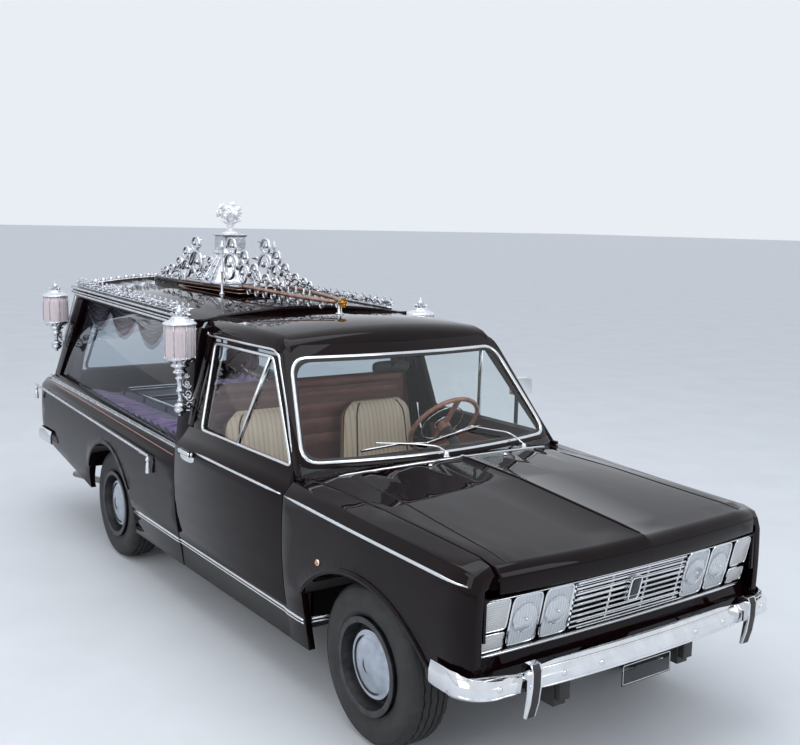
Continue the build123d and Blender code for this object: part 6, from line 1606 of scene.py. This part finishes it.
edge = []
for y in evenly(-bonnetLook["stripHalf"], bonnetLook["stripHalf"], 60):
    for step in range(120):
        spot = bonnetTree.ray_cast(at(bonnetLook["seekFrom"] + bonnetLook["seekStep"] * step, y, 1500),
                                   -riseZ, 0.62)[0]
        if spot is not None and spot.z > bonnetLook["least"]:
            edge.append(spot + aheadX * bonnetLook["edgeIn"])
            break
trim("bonnet_rear_strip", chrome, "bonnet", edge, beadSection(*bonnetLook["strip"]), riseZ,
     sizes=taper(len(edge), 2))
print("stage: bumper ridges, bonnet strip")

# A fine crease near each side of the bonnet, and a rounded bead on the front wheel arches
archLook = {"radius": 547.8, "level": 129.2, "sweep": 0.85, "thick": 0.0055}
for hand, side in bothSides:
    (rearX, rearOut), (frontX, frontOut) = bonnetLook["creaseRear"], bonnetLook["creaseFront"]
    path = [onTop(bonnetTree, x, side * out) for x,
            out in zip(evenly(rearX, frontX, 40), evenly(rearOut, frontOut, 40))]
    trim(f"bonnet_crease_{hand}", blackPaint, "bonnet", path,
         beadSection(*bonnetLook["crease"]), riseZ, sizes=taper(41, 3, 0.4))
    fenderTree = treeOf(f"fender_{hand}")
    path = [onSide(fenderTree, side, archLook["radius"] * math.sin(angle),
                   archLook["level"] + archLook["radius"] * math.cos(angle))
            for angle in evenly(-archLook["sweep"], archLook["sweep"], 60)]
    trim(f"arch_bead_{hand}", blackPaint, "root", path, roundSection(archLook["thick"], 10),
         leftY * side, sizes=taper(61, 4, 0.3))
print("stage: bonnet creases, arch beads")

# Floor, light and camera
floorLook = {"size": 400.0, "dark": (0.68, 0.69, 0.70), "light": (0.72, 0.73, 0.74), "rough": 0.75}
bpy.ops.mesh.primitive_plane_add(size=floorLook["size"], location=(0, 0, 0))
studioFloor = bpy.context.object
studioFloor.name = "studio_floor"
paleFloor = surface("pale_floor", floorLook["dark"], floorLook["light"], floorLook["rough"], 0.03, 0.0, 2.0)
studioFloor.data.materials.append(paleFloor)

worldLook = {"fill": (0.80, 0.86, 0.96), "fillStrength": 0.9, "seen": (0.86, 0.90, 0.96),
             "seenStrength": 0.95}
world = bpy.data.worlds.new("soft_sky")
bpy.context.scene.world = world
world.use_nodes = True
world.node_tree.nodes.clear()
lightPath = addNode(world, "ShaderNodeLightPath").outputs
seen = maths(world, "MAXIMUM", lightPath["Is Camera Ray"], lightPath["Is Glossy Ray"])
seen = maths(world, "MAXIMUM", seen, lightPath["Is Transmission Ray"])
backs = [addNode(world, "ShaderNodeBackground",
                 {"Color": (*worldLook[key], 1.0), "Strength": worldLook[f"{key}Strength"]})
         for key in ("fill", "seen")]
shade = mixed(world, seen, *(back.outputs["Background"] for back in backs))
addNode(world, "ShaderNodeOutputWorld", {"Surface": shade})

lampTable = (
    # name, place, aim, size, power, colour
    ("overhead_softbox", (0.5, -0.5, 6.0), (0.0, 0.0, 0.5), 5.0, 160.0, (0.92, 0.96, 1.0)),
    ("right_softbox", (2.5, -7.0, 4.0), (0.0, 0.0, 0.8), 4.0, 110.0, (1.0, 0.99, 0.97)),
    ("front_softbox", (8.0, 2.0, 3.5), (1.0, 0.0, 0.7), 3.5, 90.0, (0.95, 0.97, 1.0)),
)


def placed(name, data):
    obj = bpy.data.objects.new(name, data)
    bpy.context.scene.collection.objects.link(obj)
    return obj


for name, place, aim, size, power, colour in lampTable:
    softbox = bpy.data.lights.new(name, "AREA")
    softbox.size = size
    softbox.energy = power
    softbox.color = colour
    lamp = placed(name, softbox)
    lamp.location = place
    lamp.rotation_mode = "QUATERNION"
    lamp.rotation_quaternion = (Vector(place) - Vector(aim)).to_track_quat("Z", "Y")

cameraLook = {"place": (3058.87, -2803.53, 1974.16), "yaw": 2.52070823, "pitch": -0.144440804,
              "roll": 0.0220036379, "focal": 1028.474, "width": 800.0, "sensor": 36.0}
yaw, pitch, roll = cameraLook["yaw"], cameraLook["pitch"], cameraLook["roll"]
forward = Vector((math.cos(pitch) * math.cos(yaw), math.cos(pitch) * math.sin(yaw), math.sin(pitch)))
level = Vector((math.sin(yaw), -math.cos(yaw), 0.0))
above = level.cross(forward)
rightward = level * math.cos(roll) + above * math.sin(roll)
upward = above * math.cos(roll) - level * math.sin(roll)
photoCamera = bpy.data.cameras.new("photo_camera")
photoCamera.sensor_width = cameraLook["sensor"]
photoCamera.lens = cameraLook["focal"] * cameraLook["sensor"] / cameraLook["width"]
camera = placed("photo_camera", photoCamera)
turn = Matrix((rightward, upward, -forward)).transposed().to_4x4()
camera.matrix_world = Matrix.Translation(at(*cameraLook["place"])) @ turn
bpy.context.scene.camera = camera
bpy.context.scene.view_settings.view_transform = "Standard"
print("stage: floor, light and camera")
